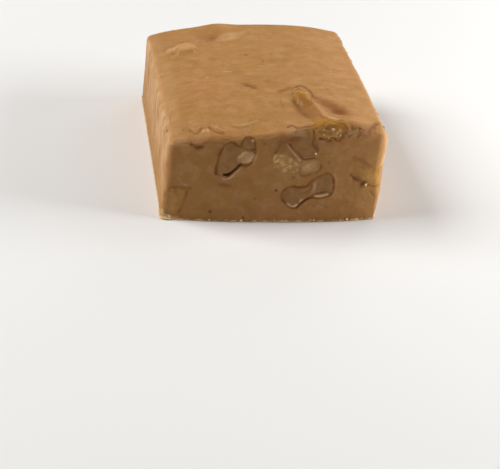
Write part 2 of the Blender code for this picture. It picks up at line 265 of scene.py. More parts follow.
CRACK = Look(relief=-0.17, stain=0.45, gold=0.4)
LIP_CRACK = Look(relief=-0.18, stain=0.65, gold=0.4)
HAIR_CRACK = Look(relief=-0.09, stain=0.40)
STEP = Look(relief=-0.20, dark=0.12, stain=0.7)
EDGE_LINE = Look(relief=-0.18, dark=0.35, stain=0.7)
# GAP: a deep groove filled with painted shade.
GAP = Look(relief=-0.75, dark=1.0)
LIP = Look(relief=0.18, pale=0.14)
SMEAR = Look(stain=0.8)
FURROW = Look(relief=-0.16, stain=0.65)
# GLINT: a raised rim painted pale as a highlight.
GLINT = Look(relief=0.20, pale=0.8)
BEAD = Look(relief=0.14, pale=0.4)
RIB = Look(relief=0.16, pale=0.25)

# Cracks, furrows and ridges on each side: name: (points, width, look).
MARKS = on("top", {
    "lip_crack_left": (
        [(-19.8, -26.0), (-19.2, -27.1), (-18.5, -27.6), (-17.9, -27.1), (-17.3, -26.1)], 0.42, LIP_CRACK),
    "lip_crack_start": ([(-21.4, -25.8), (-20.7, -26.0)], 0.26, HAIR_CRACK),
    "lip_crack_right": ([(-15.5, -25.9), (-14.7, -27.4), (-13.8, -28.2), (-12.8, -28.4)], 0.42, LIP_CRACK),
    "lip_rim_left": ([(-19.7, -25.2), (-18.6, -26.1), (-17.7, -25.4)], 0.30, LIP),
    "lip_rim_right": ([(-15.0, -25.2), (-13.9, -26.5), (-12.7, -27.6)], 0.30, LIP),
    "lip_bead_left": ([(-17.0, -26.6), (-16.9, -27.5)], 0.36, BEAD),
    "lip_bead_right": ([(-16.1, -26.6), (-16.1, -27.6)], 0.32, BEAD),
    "edge_ridge": ([(-10.4, -25.2), (-8.5, -25.6), (-6.5, -25.1), (-5.0, -24.4)], 0.34, LIP),
    "edge_ridge_shade": ([(-10.2, -26.2), (-8.5, -26.4), (-6.9, -26.0)], 0.24, HAIR_CRACK),
    "skin_crack": ([(1.9, -15.5), (1.7, -18.0), (2.0, -19.3), (1.8, -21.3)], 0.13, HAIR_CRACK),
    "sunk_kernel_mark": ([(2.4, -11.8), (3.8, -11.1), (5.2, -10.2)], 0.75, SMEAR),
    "sunk_kernel_arc": (
        [(6.5, -9.9), (7.4, -8.9), (8.4, -9.4), (9.2, -11.1), (9.6, -12.9), (9.7, -15.0)], 0.34,
        Look(relief=-0.14, dark=0.12, stain=0.8)),
    "sunk_kernel_rib": ([(6.6, -14.6), (6.1, -16.0), (5.8, -17.4)], 0.26, RIB),
    "sunk_kernel_rib_right": ([(7.6, -15.2), (7.0, -16.8), (6.4, -18.2)], 0.26, RIB),
    "sunk_kernel_cleft": ([(7.1, -15.0), (6.6, -16.4), (6.1, -18.2)], 0.20, Look(relief=-0.2, stain=0.9)),
    "furrow_left": ([(5.1, -16.7), (5.9, -19.3), (6.6, -21.7), (7.2, -23.7)], 1.2, FURROW),
    "furrow_notch": ([(7.2, -24.4), (7.4, -26.8)], 0.3, CRACK),
    "furrow_right": (
        [(10.2, -15.4), (11.8, -18.0), (13.2, -19.0), (14.5, -21.3), (15.7, -23.0)], 1.0,
        Look(relief=-0.12, stain=0.8)),
    "ridge_crest": ([(8.8, -18.2), (9.3, -21.7), (10.1, -24.6), (11.0, -26.4)], 0.32, LIP),
    "ridge_foot_line": ([(9.4, -24.8), (10.3, -26.3)], 0.24, STEP),
    "skin_edge_over_kernel": (
        [(1.7, -28.0), (2.8, -27.5), (4.0, -29.1), (5.4, -28.9), (7.0, -28.8), (7.8, -28.2)], 0.26,
        EDGE_LINE),
    "skin_rim_over_kernel": (
        [(1.8, -27.0), (2.9, -26.5), (4.1, -28.2), (5.8, -27.7), (7.2, -27.6)], 0.30, LIP),
    "top_edge_kernel_rim": ([(11.1, -27.7), (12.6, -27.6), (14.0, -28.7)], 0.26, CRACK),
    "corner_crack": (
        [(20.0, -30.2), (20.5, -29.6), (21.3, -28.3), (22.2, -26.7), (23.0, -25.7)], 0.85,
        Look(relief=-0.45, dark=0.40, stain=1.0, gold=0.5)),
    "corner_crack_ridge": (
        [(21.2, -30.2), (21.7, -29.2), (22.4, -27.9), (23.8, -26.1)], 0.42, Look(relief=0.10, pale=0.12)),
    "corner_crack_rim": ([(19.4, -30.1), (20.0, -28.6), (21.1, -26.8), (22.3, -25.4)], 0.36, LIP),
    "left_edge_crack_middle": (
        [(-23.6, -14.0), (-23.9, -17.0), (-23.6, -20.0), (-23.8, -22.1)], 0.2, HAIR_CRACK),
    "left_edge_notch": ([(-23.6, 2.6), (-22.4, 2.4), (-21.9, 2.8)], 0.3, CRACK),
    "skin_nick": (
        [(-5.2, -7.2), (-4.6, -8.2), (-3.8, -8.6), (-3.4, -9.4)], 0.80,
        Look(relief=-0.24, dark=0.30, stain=0.9)),
    "pale_stroke": ([(-8.9, 0.7), (-7.5, 0.6)], 0.34, Look(relief=0.05, pale=0.6)),
}) | on("front", {
    "edge_dent": ([(-3.7, 22.5), (-2.9, 22.6), (-1.8, 22.8)], 0.28, HAIR_CRACK),
    "left_scratch": ([(-21.4, 20.2), (-20.7, 20.7), (-20.1, 20.9)], 0.26, HAIR_CRACK),
    "v_crack": (
        [(-19.7, 19.9), (-19.1, 19.6), (-18.6, 19.2), (-18.1, 19.4), (-17.5, 19.6)], 0.46,
        Look(relief=-0.30, dark=0.40, stain=1.0)),
    "v_crack_tail": ([(-17.3, 20.3), (-16.6, 20.6), (-15.8, 21.0)], 0.30, SMEAR),
    "top_edge_kernel_foot": (
        [(8.8, 22.4), (10.0, 22.3), (11.1, 22.0), (11.7, 22.8), (13.1, 21.9), (14.1, 23.1)], 0.36,
        Look(relief=-0.26, dark=0.25, stain=0.9)),
    "crumbled_line": ([(15.6, 25.0), (16.5, 25.1), (17.5, 24.9), (18.5, 24.4)], 0.30, CRACK),
    "slot_under_corner": (
        [(18.5, 11.6), (19.5, 10.8), (20.6, 10.0)], 0.85, Look(relief=-0.55, dark=0.05, stain=1.0)),
    "slot_start": (
        [(17.2, 12.5), (18.1, 11.8), (19.0, 11.1)], 0.42, Look(relief=-0.3, dark=0.25, stain=1.0)),
    "corner_arc": (
        [(17.3, 17.2), (18.3, 16.8), (19.3, 16.3), (20.3, 15.7), (21.4, 14.8)], 0.60,
        Look(relief=-0.08, stain=1.0)),
    "corner_step": ([(20.9, 9.7), (22.6, 9.3), (24.4, 9.1), (25.2, 9.1)], 0.30, STEP),
    "corner_mark": (
        [(22.3, 7.8), (23.0, 7.0), (23.7, 6.4)], 0.42, Look(relief=-0.16, gold=0.8, stain=0.3)),
    # A pale golden strip down the front's right edge: a painted highlight.
    "right_edge_rub": (
        [(25.0, 21.4), (25.1, 15.9), (25.2, 10.5), (25.3, 4.0)], 1.0, Look(pale=0.16, gold=0.3)),
    "left_kernel_gap": (
        [(-8.6, 15.3), (-9.2, 14.3), (-10.0, 13.5), (-10.9, 12.7), (-12.0, 12.6)], 0.30, GAP),
    "left_kernel_lip": (
        [(-8.5, 14.3), (-9.4, 13.4), (-10.4, 12.1), (-11.2, 11.7)], 0.22, Look(relief=0.20, pale=0.40)),
    "left_kernel_foot": ([(-11.7, 11.7), (-12.3, 11.8)], 0.30, BEAD),
    "left_kernel_heel": ([(-13.5, 12.3), (-13.1, 11.8)], 0.26, BEAD),
    "left_kernel_neck": ([(-8.7, 20.1), (-7.8, 19.5), (-6.7, 19.3), (-5.8, 19.6)], 0.24, STEP),
    "middle_kernel_left": (
        [(0.0, 20.6), (-0.4, 19.5), (-0.8, 18.4)], 0.28, Look(relief=-0.1, dark=0.4, stain=0.9)),
    "middle_kernel_ridge": (
        [(1.9, 20.6), (2.6, 19.6), (3.4, 18.6), (4.3, 17.5), (5.0, 16.7)], 0.17,
        Look(relief=0.14, pale=0.50)),
    "middle_kernel_brow": (
        [(0.2, 21.4), (1.4, 21.7), (2.6, 22.1), (3.5, 22.7)], 0.95, Look(relief=-0.12, stain=1.0)),
    "middle_kernel_foot": (
        [(5.6, 12.8), (6.5, 12.5), (7.4, 12.8), (8.7, 13.4), (9.9, 14.2), (10.2, 15.4)], 0.28,
        Look(relief=-0.08, dark=0.1, stain=0.8)),
    # Glints on the lower kernel's rims are painted highlights.
    "lower_kernel_glint_left": ([(3.6, 5.1), (4.2, 4.5), (5.0, 4.4), (5.6, 4.9)], 0.24, GLINT),
    "lower_kernel_glint_middle": ([(6.2, 5.7), (6.6, 6.2)], 0.20, GLINT),
    "lower_kernel_glint_right": (
        [(9.8, 7.3), (11.0, 7.3), (12.5, 7.8)], 0.34, Look(relief=0.22, pale=0.6)),
    "lower_kernel_fold": ([(9.2, 10.4), (9.2, 9.4), (9.0, 8.6)], 0.50, Look(relief=0.12, pale=0.32)),
    "lower_kernel_sill": (
        [(13.0, 7.9), (11.8, 8.2), (10.2, 7.9), (9.3, 7.6), (8.4, 6.8), (7.4, 5.9), (6.4, 5.0)], 0.24,
        Look(relief=-0.20, dark=0.55, stain=0.8)),
    "lower_kernel_crease": (
        [(8.6, 10.6), (8.4, 9.4), (7.6, 8.4), (6.0, 7.9)], 0.30, Look(relief=-0.12, stain=0.6)),
    "stroke_low": ([(10.2, 5.4), (11.6, 4.7), (12.8, 4.0)], 0.22, HAIR_CRACK),
    "upper_kernel_edge": (
        [(2.2, 20.9), (3.1, 19.7), (4.5, 18.4), (5.6, 17.2), (6.8, 17.1), (8.2, 17.5)], 0.28,
        Look(relief=-0.20, dark=0.45, stain=0.9)),
    "upper_kernel_right": (
        [(7.2, 24.2), (7.5, 22.6), (7.3, 21.1), (8.4, 19.8), (8.7, 19.2)], 0.40,
        Look(relief=-0.24, dark=0.30, stain=0.8)),
    "base_corner_arc": (
        [(-25.1, 5.8), (-24.4, 7.0), (-23.6, 7.9), (-22.5, 8.5), (-20.9, 8.7), (-19.2, 8.7)], 0.44,
        Look(relief=-0.12, stain=0.95)),
    "base_corner_line": (
        [(-19.9, 7.6), (-20.4, 5.6), (-20.9, 3.7), (-21.4, 2.1)], 0.34, Look(relief=-0.1, stain=0.85)),
    "base_corner_curl": (
        [(-25.2, 2.0), (-24.9, 1.2), (-24.2, 0.7), (-23.2, 0.4), (-21.9, 0.3)], 0.5,
        Look(relief=0.35, pale=0.7, gold=0.3)),
}) | on("left", {
    "left_edge_crack_front": ([(-19.6, 20.6), (-22.4, 20.9), (-25.0, 20.8)], 0.2, HAIR_CRACK),
    "left_cut_crack": ([(12.0, 5.0), (13.8, 6.2), (15.0, 6.0)], 0.18, HAIR_CRACK),
}) | on("right", {
    "right_kernel_gap": ([(-5.2, 13.0), (-4.4, 14.4), (-4.2, 16.0)], 0.26, GAP),
    "right_crack": ([(-20.4, 8.4), (-18.6, 9.6), (-17.0, 9.8), (-15.8, 11.0)], 0.24, CRACK),
    "right_smear": ([(9.0, 14.6), (11.6, 15.4), (14.0, 15.0)], 0.5, SMEAR),
}) | on("back", {
    "back_crack": ([(6.2, 15.0), (7.6, 14.4), (8.6, 12.8)], 0.22, CRACK),
    "back_smear": ([(-10.4, 6.4), (-8.6, 5.6), (-7.0, 6.0)], 0.45, SMEAR),
})

TORN_NUT = Look(relief=-0.12, rough=0.22, torn=1.0)

# Torn or tinted ovals on each side: name: (centre, half-sizes, turn in degrees, softness, look).
PATCHES = on("top", {
    "top_edge_kernel_top": ((10.9, -28.9), (4.0, 1.3), 2, 1.0, Look(rough=0.34, gold=0.75, stain=0.22)),
    "sunk_kernel_foot": ((7.2, -18.0), (2.4, 2.8), 0, 1.2, Look(relief=-0.1, stain=0.6, gold=0.8)),
    "sunk_kernel_shade": ((7.0, -21.4), (2.3, 4.2), 12, 1.3, Look(stain=0.55)),
    "ridge_shade": ((13.1, -19.5), (5.0, 2.8), -52, 1.1, Look(stain=0.6)),
    "ridge_stain": ((14.5, -21.3), (1.9, 2.0), 0, 1.0, Look(relief=-0.1, stain=1.0)),
    "ridge_highlight": ((12.3, -26.7), (1.4, 0.5), -34, 0.7, Look(relief=0.12, pale=0.40)),
    # Painted shade in the hollow behind the coated kernel, darkest at its core.
    "hollow_shade": ((-9.8, 23.0), (3.9, 2.6), 10, 1.2, Look(stain=0.3)),
    "hollow_core": ((-8.6, 22.8), (1.1, 0.9), 0, 0.9, Look(relief=-0.15, stain=0.5)),
    "lump_shade": ((-21.3, 18.6), (2.6, 1.8), 30, 1.2, Look(stain=0.2)),
    # The coated kernel's gold is its own colour; the paler tops of it and its lobe are painted highlights.
    "lump_top": ((-16.7, 16.0), (2.7, 2.6), 0, 0.6, Look(pale=0.26, gold=0.5)),
    "lump_side": ((-16.6, 13.0), (2.7, 0.5), 0, 0.6, Look(gold=0.5, pale=0.15)),
    "lump_lobe_top": ((-20.0, 16.0), (1.2, 1.3), 0, 0.8, Look(pale=0.3)),
    "middle_shade": ((-2.2, -6.0), (5.0, 3.6), 0, 1.2, Look(stain=0.16)),
    "back_kernel_pale": ((-5.4, 21.6), (2.6, 2.2), 0, 1.0, Look(pale=0.20)),
    # A pale band along the top's left edge: a painted highlight where the skin turns to the light.
    "left_band": ((-23.6, 0.0), (2.4, 31.0), 0, 0.9, Look(pale=0.12)),
}) | on("front", {
    "left_kernel_torn": (
        (-7.1, 17.3), (2.1, 1.5), 15, 0.35, Look(relief=-0.12, rough=0.26, torn=0.8, pale=0.30)),
    "left_kernel_smear": ((-11.4, 9.9), (1.6, 0.5), -6, 0.8, SMEAR),
    "middle_kernel_torn": ((1.7, 15.6), (3.8, 2.3), -26, 0.4, Look(relief=-0.06, rough=0.16, torn=1.0)),
    "middle_kernel_lobe": ((7.4, 15.1), (2.4, 1.9), 0, 0.7, Look(pale=0.15, gold=0.4)),
    "middle_kernel_spot": ((7.2, 15.0), (1.2, 0.9), 20, 1.2, Look(rough=0.06, torn=0.7)),
    "over_upper_kernel": (
        (3.2, 24.2), (2.4, 1.2), 0, 0.8, Look(relief=0.2, rough=0.14, pale=0.22, gold=0.2)),
    "top_edge_kernel_torn": (
        (10.8, 24.0), (3.6, 1.5), 0, 0.4, Look(relief=-0.10, rough=0.34, torn=0.3, gold=0.9)),
    "beside_top_edge_kernel": ((17.2, 23.9), (3.6, 1.5), -6, 0.7, Look(rough=0.30, stain=0.38, pale=0.08)),
    "corner_kernel_gold": ((24.2, 12.0), (3.4, 3.4), 0, 0.9, Look(rough=0.08, pale=0.06, gold=1.0)),
    # Paler and more golden towards the front's right edge: painted light from the right.
    "right_edge_warmth": ((25.2, 12.0), (4.6, 13.0), 0, 1.0, Look(pale=0.06, gold=0.25)),
    "front_blush": ((-2.0, 22.5), (25.0, 4.0), 0, 1.2, Look(stain=0.08)),
    "base_corner_glow": ((-24.6, 3.8), (2.4, 3.2), 0, 1.1, Look(pale=0.10, gold=0.3)),
}) | on("right", {
    "right_kernel_torn": ((-9.6, 16.8), (1.8, 1.2), 60, 0.35, TORN_NUT),
    "right_middle_torn": ((9.0, 7.4), (1.9, 1.2), 0, 0.35, TORN_NUT),
    "right_stain": ((-22.0, 17.0), (2.6, 1.2), 10, 0.8, Look(rough=0.15, stain=0.6)),
}) | on("back", {
    "back_kernel_torn": ((16.6, 13.0), (2.2, 1.4), 20, 0.35, TORN_NUT),
    "back_middle_torn": ((-2.4, 8.2), (1.6, 1.1), 0, 0.35, TORN_NUT),
    "back_stain": ((-20.6, 5.4), (2.0, 1.0), 0, 0.8, Look(stain=0.6)),
})

PIT = Look(relief=-0.16, dark=0.75)
BLEMISH = Look(relief=-0.04, dark=0.40)
FLECK = Look(relief=0.05, pale=0.45)

# Single pits and flecks: (side, place, radius, look).
SPOTS = [
    ("front", (-14.3, 2.7), 0.44, PIT),
    ("front", (-6.5, 1.2), 0.30, PIT),
    ("front", (0.4, 8.6), 0.36, PIT),
    ("front", (-3.5, 20.9), 0.34, BLEMISH),
    ("front", (11.9, 16.1), 0.32, BLEMISH),
    ("front", (4.1, 12.2), 0.50, BLEMISH),
    ("front", (-6.2, 21.6), 0.34, FLECK),
    ("front", (-4.2, 6.4), 0.28, BLEMISH),
    ("left", (5.1, 14.6), 0.36, PIT),
    ("top", (-2.4, 9.9), 0.42, BLEMISH),
    ("top", (1.3, 6.4), 0.40, BLEMISH),
    ("top", (-13.4, -2.2), 0.34, FLECK),
    ("top", (14.2, -10.4), 0.60, Look(stain=0.4)),
    ("top", (-12.6, 20.0), 0.50, BLEMISH),
    ("top", (7.0, -10.3), 0.22, PIT),
]
SCATTERED_SPOTS = 84
SCATTERED_SIDES = ("top", "front", "top", "right", "back", "left")
SCATTERED_RADIUS = (0.12, 0.30)
SCATTERED_LOOKS = [
    Look(relief=-0.07, dark=0.35), Look(relief=0.03, pale=0.35), Look(stain=0.35), Look(pale=0.25),
]
SCATTER_MARGIN = 2.0
SPOT_SEED = 5


# ---------------------------------------------------------------- shape of the block


def eased(value):
    """Smoothstep of a value clipped to 0..1."""
    value = np.clip(value, 0, 1)
    return value * value * (3 - 2 * value)


def risen(value, low, high):
    """How far a value has risen from one limit to another, from 0 to 1."""
    return eased((value - low) / (high - low))


def stepped(value, width):
    """A step from 0 to 1 where a value rises past 0, as soft as the given width."""
    return eased(value / width + 0.5)


def hashed(cells, seed):
    """A fixed pseudo-random number from 0 to 1 for each whole-numbered cell."""
    angle = cells @ HASH_WEIGHTS + seed * HASH_SEED_WEIGHT
    return np.modf(np.abs(np.sin(angle) * HASH_SCALE))[0]


def smooth_noise(points, length, seed):
    """Noise from -1 to 1 that varies over about the given length, or one for each axis."""
    scaled = np.asarray(points, float) / length
    cell = np.floor(scaled)
    ease = eased(scaled - cell)
    total = np.zeros(len(scaled))
    for corner in np.ndindex(2, 2, 2):
        share = np.prod(np.where(corner, ease, 1 - ease), axis=1)
        total += share * hashed(cell + corner, seed)
    return 2 * total - 1


def rough_noise(points, length, seed, octaves=3):
    """Noise from about -1 to 1 with finer noise on top of it."""
    total = np.zeros(len(points))
    for octave in range(octaves):
        finer = 2.0**octave
        total += smooth_noise(points, np.asarray(length) / finer, seed + octave) / finer
    return total / ROUGH_NOISE_REACH


def distance_to(points, path):
    """Distance from each point to a polyline, up to FAR."""
    result = np.full(len(points), FAR)
    boxed = (points > path.min(axis=0) - FAR) & (points < path.max(axis=0) + FAR)
    near = np.flatnonzero(boxed.all(axis=1))
    best = np.full(len(near), FAR)
    for start, end in zip(path[:-1], path[1:]):
        along = end - start
        share = np.clip((points[near] - start) @ along / max(along @ along, TINY), 0, 1)
        gap = np.linalg.norm(points[near] - start - share[:, None] * along, axis=1)
        best = np.minimum(best, gap)
    result[near] = best
    return result


def depth_within(flat, ring):
    """How far places lie inside a closed line, or less than nothing outside it."""
    within = np.zeros(len(flat), bool)
    for start, end in zip(ring, np.roll(ring, -1, axis=0)):
        crosses = (start[1] > flat[:, 1]) != (end[1] > flat[:, 1])
        run = (end[0] - start[0]) / (end[1] - start[1] + TINY)
        within ^= crosses & (flat[:, 0] < start[0] + (flat[:, 1] - start[1]) * run)
    distance = distance_to(flat, np.concatenate([ring, ring[:1]]))
    return np.where(within, distance, -distance)


def bow_profile(x):
    """How much of a bow is lost towards the ends of a cut, from 0 to 1."""
    return np.clip(np.abs(2 * x / WIDTH), 0, 1) ** BOW_SHARPNESS


def bow_shift(x, y):
    """How far the bowed front and back cuts draw the block inwards at their ends."""
    front = FRONT_BOW * eased(-2 * y / DEPTH)
    back = BACK_BOW * eased(2 * y / DEPTH)
    return (front - back) * bow_profile(x)


def flare_shift(x, y, z):
    """How far the front right corner stands out sideways, above the base."""
    right = np.clip(2 * x / WIDTH, 0, 1) ** BOW_SHARPNESS
    front = 0.5 - np.clip(y / DEPTH, -0.5, 0.5)
    return FRONT_RIGHT_FLARE * right * front * np.clip(z / FLARE_RISE, 0, 1)


def skin_forms(x, y):
    """Height that the rises, dents and lumps of the skin add at x, y."""
    total = np.zeros_like(x)
    for centre_x, centre_y, length, width, turn, height in SKIN_FORMS.values():
        along, across = turned(np.stack([x - centre_x, y - centre_y], axis=1), turn)
        total += height * np.exp(-((along / length) ** 2 + (across / width) ** 2))
    for outline, front_height, back_height, slope in LUMPS.values():
        ring = np.array(outline)
        back = (y - ring[:, 1].min()) / np.ptp(ring[:, 1])
        height = front_height + (back_height - front_height) * np.clip(back, 0, 1)
        total += height * stepped(depth_within(np.stack([x, y], axis=1), ring), slope)
    return total


def between_corners(x, y, front_left, front_right, back_left, back_right):
    """A value given at the block's four corners, spread evenly between them."""
    u = np.clip(x / WIDTH + 0.5, 0, 1)
    v = np.clip(y / DEPTH + 0.5, 0, 1)
    front = front_left * (1 - u) + front_right * u
    back = back_left * (1 - u) + back_right * u
    return front * (1 - v) + back * v


def skin_height(x, y):
    """Height of the block's skin above the base."""
    corners = FRONT_LEFT_HEIGHT, FRONT_RIGHT_HEIGHT, BACK_LEFT_HEIGHT, BACK_RIGHT_HEIGHT
    crown = between_corners(x, y, FRONT_CROWN, FRONT_CROWN, BACK_CROWN, BACK_CROWN)
    crown *= 1 - bow_profile(x)
    flat = np.stack([x, y, np.zeros_like(x)], axis=1)
    waver = SKIN_WAVER * smooth_noise(flat, SKIN_WAVER_LENGTH, seed=3)
    return between_corners(x, y, *corners) + crown + waver + skin_forms(x, y)


def edge_radius(points):
    """Radius that the block's edges are rounded to, near each point."""
    x, y, z = points.T
    corners = FRONT_LEFT_RADIUS, FRONT_RIGHT_RADIUS, BACK_LEFT_RADIUS, BACK_RIGHT_RADIUS
    top = between_corners(x, y, *corners)
    top *= 1 - MIDDLE_TIGHTENING * (1 - bow_profile(x))
    return BASE_EDGE_RADIUS + (top - BASE_EDGE_RADIUS) * eased(z / RADIUS_RISE)


def rounded_box(points):
    """For points in the plain box: core point, way out from it, edge radius and distance."""
    low = np.array([-WIDTH / 2, -DEPTH / 2, 0])
    high = np.array([WIDTH / 2, DEPTH / 2, BODY_HEIGHT])
    radius = edge_radius(points)[:, None]
    core = np.clip(points, low + radius, high - radius)
    outward = points - core
    length = np.linalg.norm(outward, axis=1, keepdims=True)
    return core, outward / np.maximum(length, TINY), radius, length[:, 0]


def cut_waver(points):
    """How far the knife's wander moves the surface outwards, which is never above 0."""
    return CUT_WAVER * (smooth_noise(points, CUT_WAVER_LENGTH, seed=11) - 1) / 2


def block_surface(points):
    """Points of a plain box brought onto the block's real surface."""
    core, outward, radius, _ = rounded_box(points)
    placed = core + outward * radius
    waver = cut_waver(placed)
    x, y, z = placed.T
    return np.stack([
        x + waver * outward[:, 0] + flare_shift(x, y, z),
        y + waver * outward[:, 1] + bow_shift(x, y),
        z / BODY_HEIGHT * skin_height(x, y),
    ], axis=1)


def near_surface(points):
    """Outward direction at points of the real block, and how deep each lies in it."""
    x, y, z = points.T
    flat_y = y - bow_shift(x, y)
    height = z * BODY_HEIGHT / skin_height(x, flat_y)
    boxed = np.stack([x - flare_shift(x, flat_y, height), flat_y, height], axis=1)
    outward = rounded_box(boxed)[1]
    waver = cut_waver(boxed)
    boxed[:, :2] -= waver[:, None] * outward[:, :2]
    _, outward, radius, length = rounded_box(boxed)
    return outward, radius[:, 0] - length


def on_surface(side, flat):
    """Places on the real surface, from places on one side as (along, up or back)."""
    along, up = np.asarray(flat, float).T
    level = np.ones_like(along)
    if side == "top":
        return block_surface(np.stack([along, up, BODY_HEIGHT * level], axis=1))
    facing_x, facing_y, _ = SIDES[side][1]
    x = facing_x * WIDTH / 2 * level if facing_x else along
    y = facing_y * DEPTH / 2 * level if facing_y else along
    height = np.minimum(up * BODY_HEIGHT / skin_height(x, y), BODY_HEIGHT)
    boxed = np.stack([x, y, height], axis=1)
    radius = edge_radius(boxed)
    rise = np.clip((height - BODY_HEIGHT) / radius + 1, 0, SHOULDER_LIMIT)
    boxed[:, 2] = np.where(rise > 0, BODY_HEIGHT + radius * (np.tan(np.arcsin(rise)) - 1), height)
    return block_surface(boxed)


def inside(side, flat, depth):
    """Places at a depth behind one side of the block, not counting the knife's wander."""
    along, up = flat.T
    if side == "top":
        return np.stack([along, up, skin_height(along, up) - depth], axis=1)
    if side == "right":
        return np.stack([WIDTH / 2 - depth + 0 * along, along, up], axis=1)
    facing_y = SIDES[side][1][1]
    face = np.full(len(along), facing_y * DEPTH / 2)
    return np.stack([along, face + bow_shift(along, face) - facing_y * depth, up], axis=1)


# ---------------------------------------------------------------- lines on the surface


def spline(points, step, closed=False):
    """A smooth curve through the points, read at about the given step."""
    nodes = np.asarray(points, float)
    if closed:
        nodes = np.concatenate([nodes[-1:], nodes, nodes[:2]])
    else:
        nodes = np.concatenate([2 * nodes[:1] - nodes[1:2], nodes, 2 * nodes[-1:] - nodes[-2:-1]])
    parts = []
    for before, start, end, after in zip(nodes, nodes[1:], nodes[2:], nodes[3:]):
        count = max(1, round(np.linalg.norm(end - start) / step))
        t = (np.arange(count) / count)[:, None]
        bend = 2 * before - 5 * start + 4 * end - after
        twist = 3 * (start - end) + after - before
        parts.append(start + 0.5 * t * (end - before + t * (bend + t * twist)))
    if not closed:
        parts.append(nodes[-2:-1])
    return np.concatenate(parts)


def outline_path(side, outline, step=OUTLINE_STEP):
    """The closed line that an outline makes on the block's surface."""
    ring = spline(outline, step, closed=True)
    return on_surface(side, np.concatenate([ring, ring[:1]]))


def scattered_spots():
    """Small pits and flecks strewn over all sides."""
    draw = np.random.default_rng(SPOT_SEED)
    spots = []
    for number in range(SCATTERED_SPOTS):
        side = SCATTERED_SIDES[number % len(SCATTERED_SIDES)]
        along = DEPTH if side in ("left", "right") else WIDTH
        low, high = (-DEPTH / 2, DEPTH / 2) if side == "top" else (0, BACK_LEFT_HEIGHT)
        place = (
            draw.uniform(SCATTER_MARGIN - along / 2, along / 2 - SCATTER_MARGIN),
            draw.uniform(low + SCATTER_MARGIN, high - SCATTER_MARGIN),
        )
        look = SCATTERED_LOOKS[draw.integers(len(SCATTERED_LOOKS))]
        spots.append((side, place, draw.uniform(*SCATTERED_RADIUS), look))
    return spots


MARK_PATHS = {
    name: on_surface(side, spline(points, PATH_STEP)) for name, (side, points, *_) in MARKS.items()
}
OUTLINE_PATHS = {name: outline_path(side, line) for name, (side, line, _) in KERNELS.items()}
LUMP_PATHS = [outline_path("top", line, PATH_STEP) for line, *_ in LUMPS.values()]
ALL_SPOTS = SPOTS + scattered_spots()
SPOT_PLACES = np.concatenate([on_surface(side, [place]) for side, place, *_ in ALL_SPOTS])


# ---------------------------------------------------------------- meshes


def stops(low, high):
    """Places of the surface lattice along one side, closer together near its ends."""
    ends = np.arange(0, EDGE_ZONE - TINY, EDGE_STEP)
    count = round((high - low - 2 * EDGE_ZONE) / COARSE_STEP) + 1
    inner = np.linspace(low + EDGE_ZONE, high - EDGE_ZONE, count)
    return np.concatenate([low + ends, inner, high - ends[::-1]])


def lattice():
    """Points and faces of the plain box's surface, with the middle of the base as one face."""
    axes = stops(-WIDTH / 2, WIDTH / 2), stops(-DEPTH / 2, DEPTH / 2), stops(0, BODY_HEIGHT)
    last = [len(axis) - 1 for axis in axes]
    near, wide, deep = BASE_RING, last[0] - BASE_RING, last[1] - BASE_RING
    index, points, faces = {}, [], []

    def vertex(*key):
        if key not in index:
            index[key] = len(points)
            points.append([axes[axis][key[axis]] for axis in range(3)])
        return index[key]

    for axis, end in ((0, 0), (0, last[0]), (1, 0), (1, last[1]), (2, 0), (2, last[2])):
        one, two = (axis + 1) % 3, (axis + 2) % 3
        for i, j in np.ndindex(last[one], last[two]):
            if (axis, end) == (2, 0) and near <= i < wide and near <= j < deep:
                continue
            ring = []
            for step_i, step_j in ((0, 0), (1, 0), (1, 1), (0, 1)):
                key = [0, 0, 0]
                key[axis], key[one], key[two] = end, i + step_i, j + step_j
                ring.append(vertex(*key))
            faces.append(ring if end else ring[::-1])
    rim = [vertex(near, j, 0) for j in range(near, deep)]
    rim += [vertex(i, deep, 0) for i in range(near, wide)]
    rim += [vertex(wide, j, 0) for j in range(deep, near, -1)]
    rim += [vertex(i, near, 0) for i in range(wide, near, -1)]
    faces.append(rim)
    return points, faces


def refine(shape, wanted):
    """Splits the quads whose middles pass a test, and fits their neighbours to them."""
    quads = [face for face in shape.faces if len(face.verts) == 4]
    middles = np.array([face.calc_center_median() for face in quads])
    picked = wanted(middles, block_surface(middles))
    edges = {edge for face, keep in zip(quads, picked) if keep for edge in face.edges}
    bmesh.ops.subdivide_edges(shape, edges=list(edges), cuts=1, use_grid_fill=True)


def nearest_feature(points):
    """Distance to the nearest mark, spot or outline of a kernel or lump."""
    nearest = np.full(len(points), FAR)
    for name, (_, _, width, _) in MARKS.items():
        nearest = np.minimum(nearest, distance_to(points, MARK_PATHS[name]) - width)
    for path in [*OUTLINE_PATHS.values(), *LUMP_PATHS]:
        nearest = np.minimum(nearest, distance_to(points, path))
    for place, (_, _, radius, _) in zip(SPOT_PLACES, ALL_SPOTS):
        nearest = np.minimum(nearest, np.linalg.norm(points - place, axis=1) - radius / 2)
    return nearest


def patch_reach(points, patch):
    """How far out points lie in a patch, from 0 in its middle to 1 at its edge and more beyond."""
    side, centre, halves, turn, *_ = patch
    along, across = turned(points[:, SIDES[side][0]] - centre, turn)
    return np.hypot(along / halves[0], across / halves[1])


def in_rough_patch(points):
    """Whether points lie in a patch that is torn or crumbly."""
    found = np.zeros(len(points), bool)
    for patch in PATCHES.values():
        side, centre, *_, look = patch
        if look.rough:
            gap = np.abs((points - on_surface(side, [centre])) @ np.array(SIDES[side][1]))
            found |= (gap < PATCH_REACH) & (patch_reach(points, patch) < PATCH_MARGIN)
    return found


def wants_detail(boxed, placed):
    """Whether a face is on the front, or near a feature of another side."""
    front = (boxed[:, 1] < -DEPTH / 2 + FRONT_REACH) & (boxed[:, 2] > 0)
    return front | (nearest_feature(placed) < 2 * FINE_REACH) | in_rough_patch(placed)


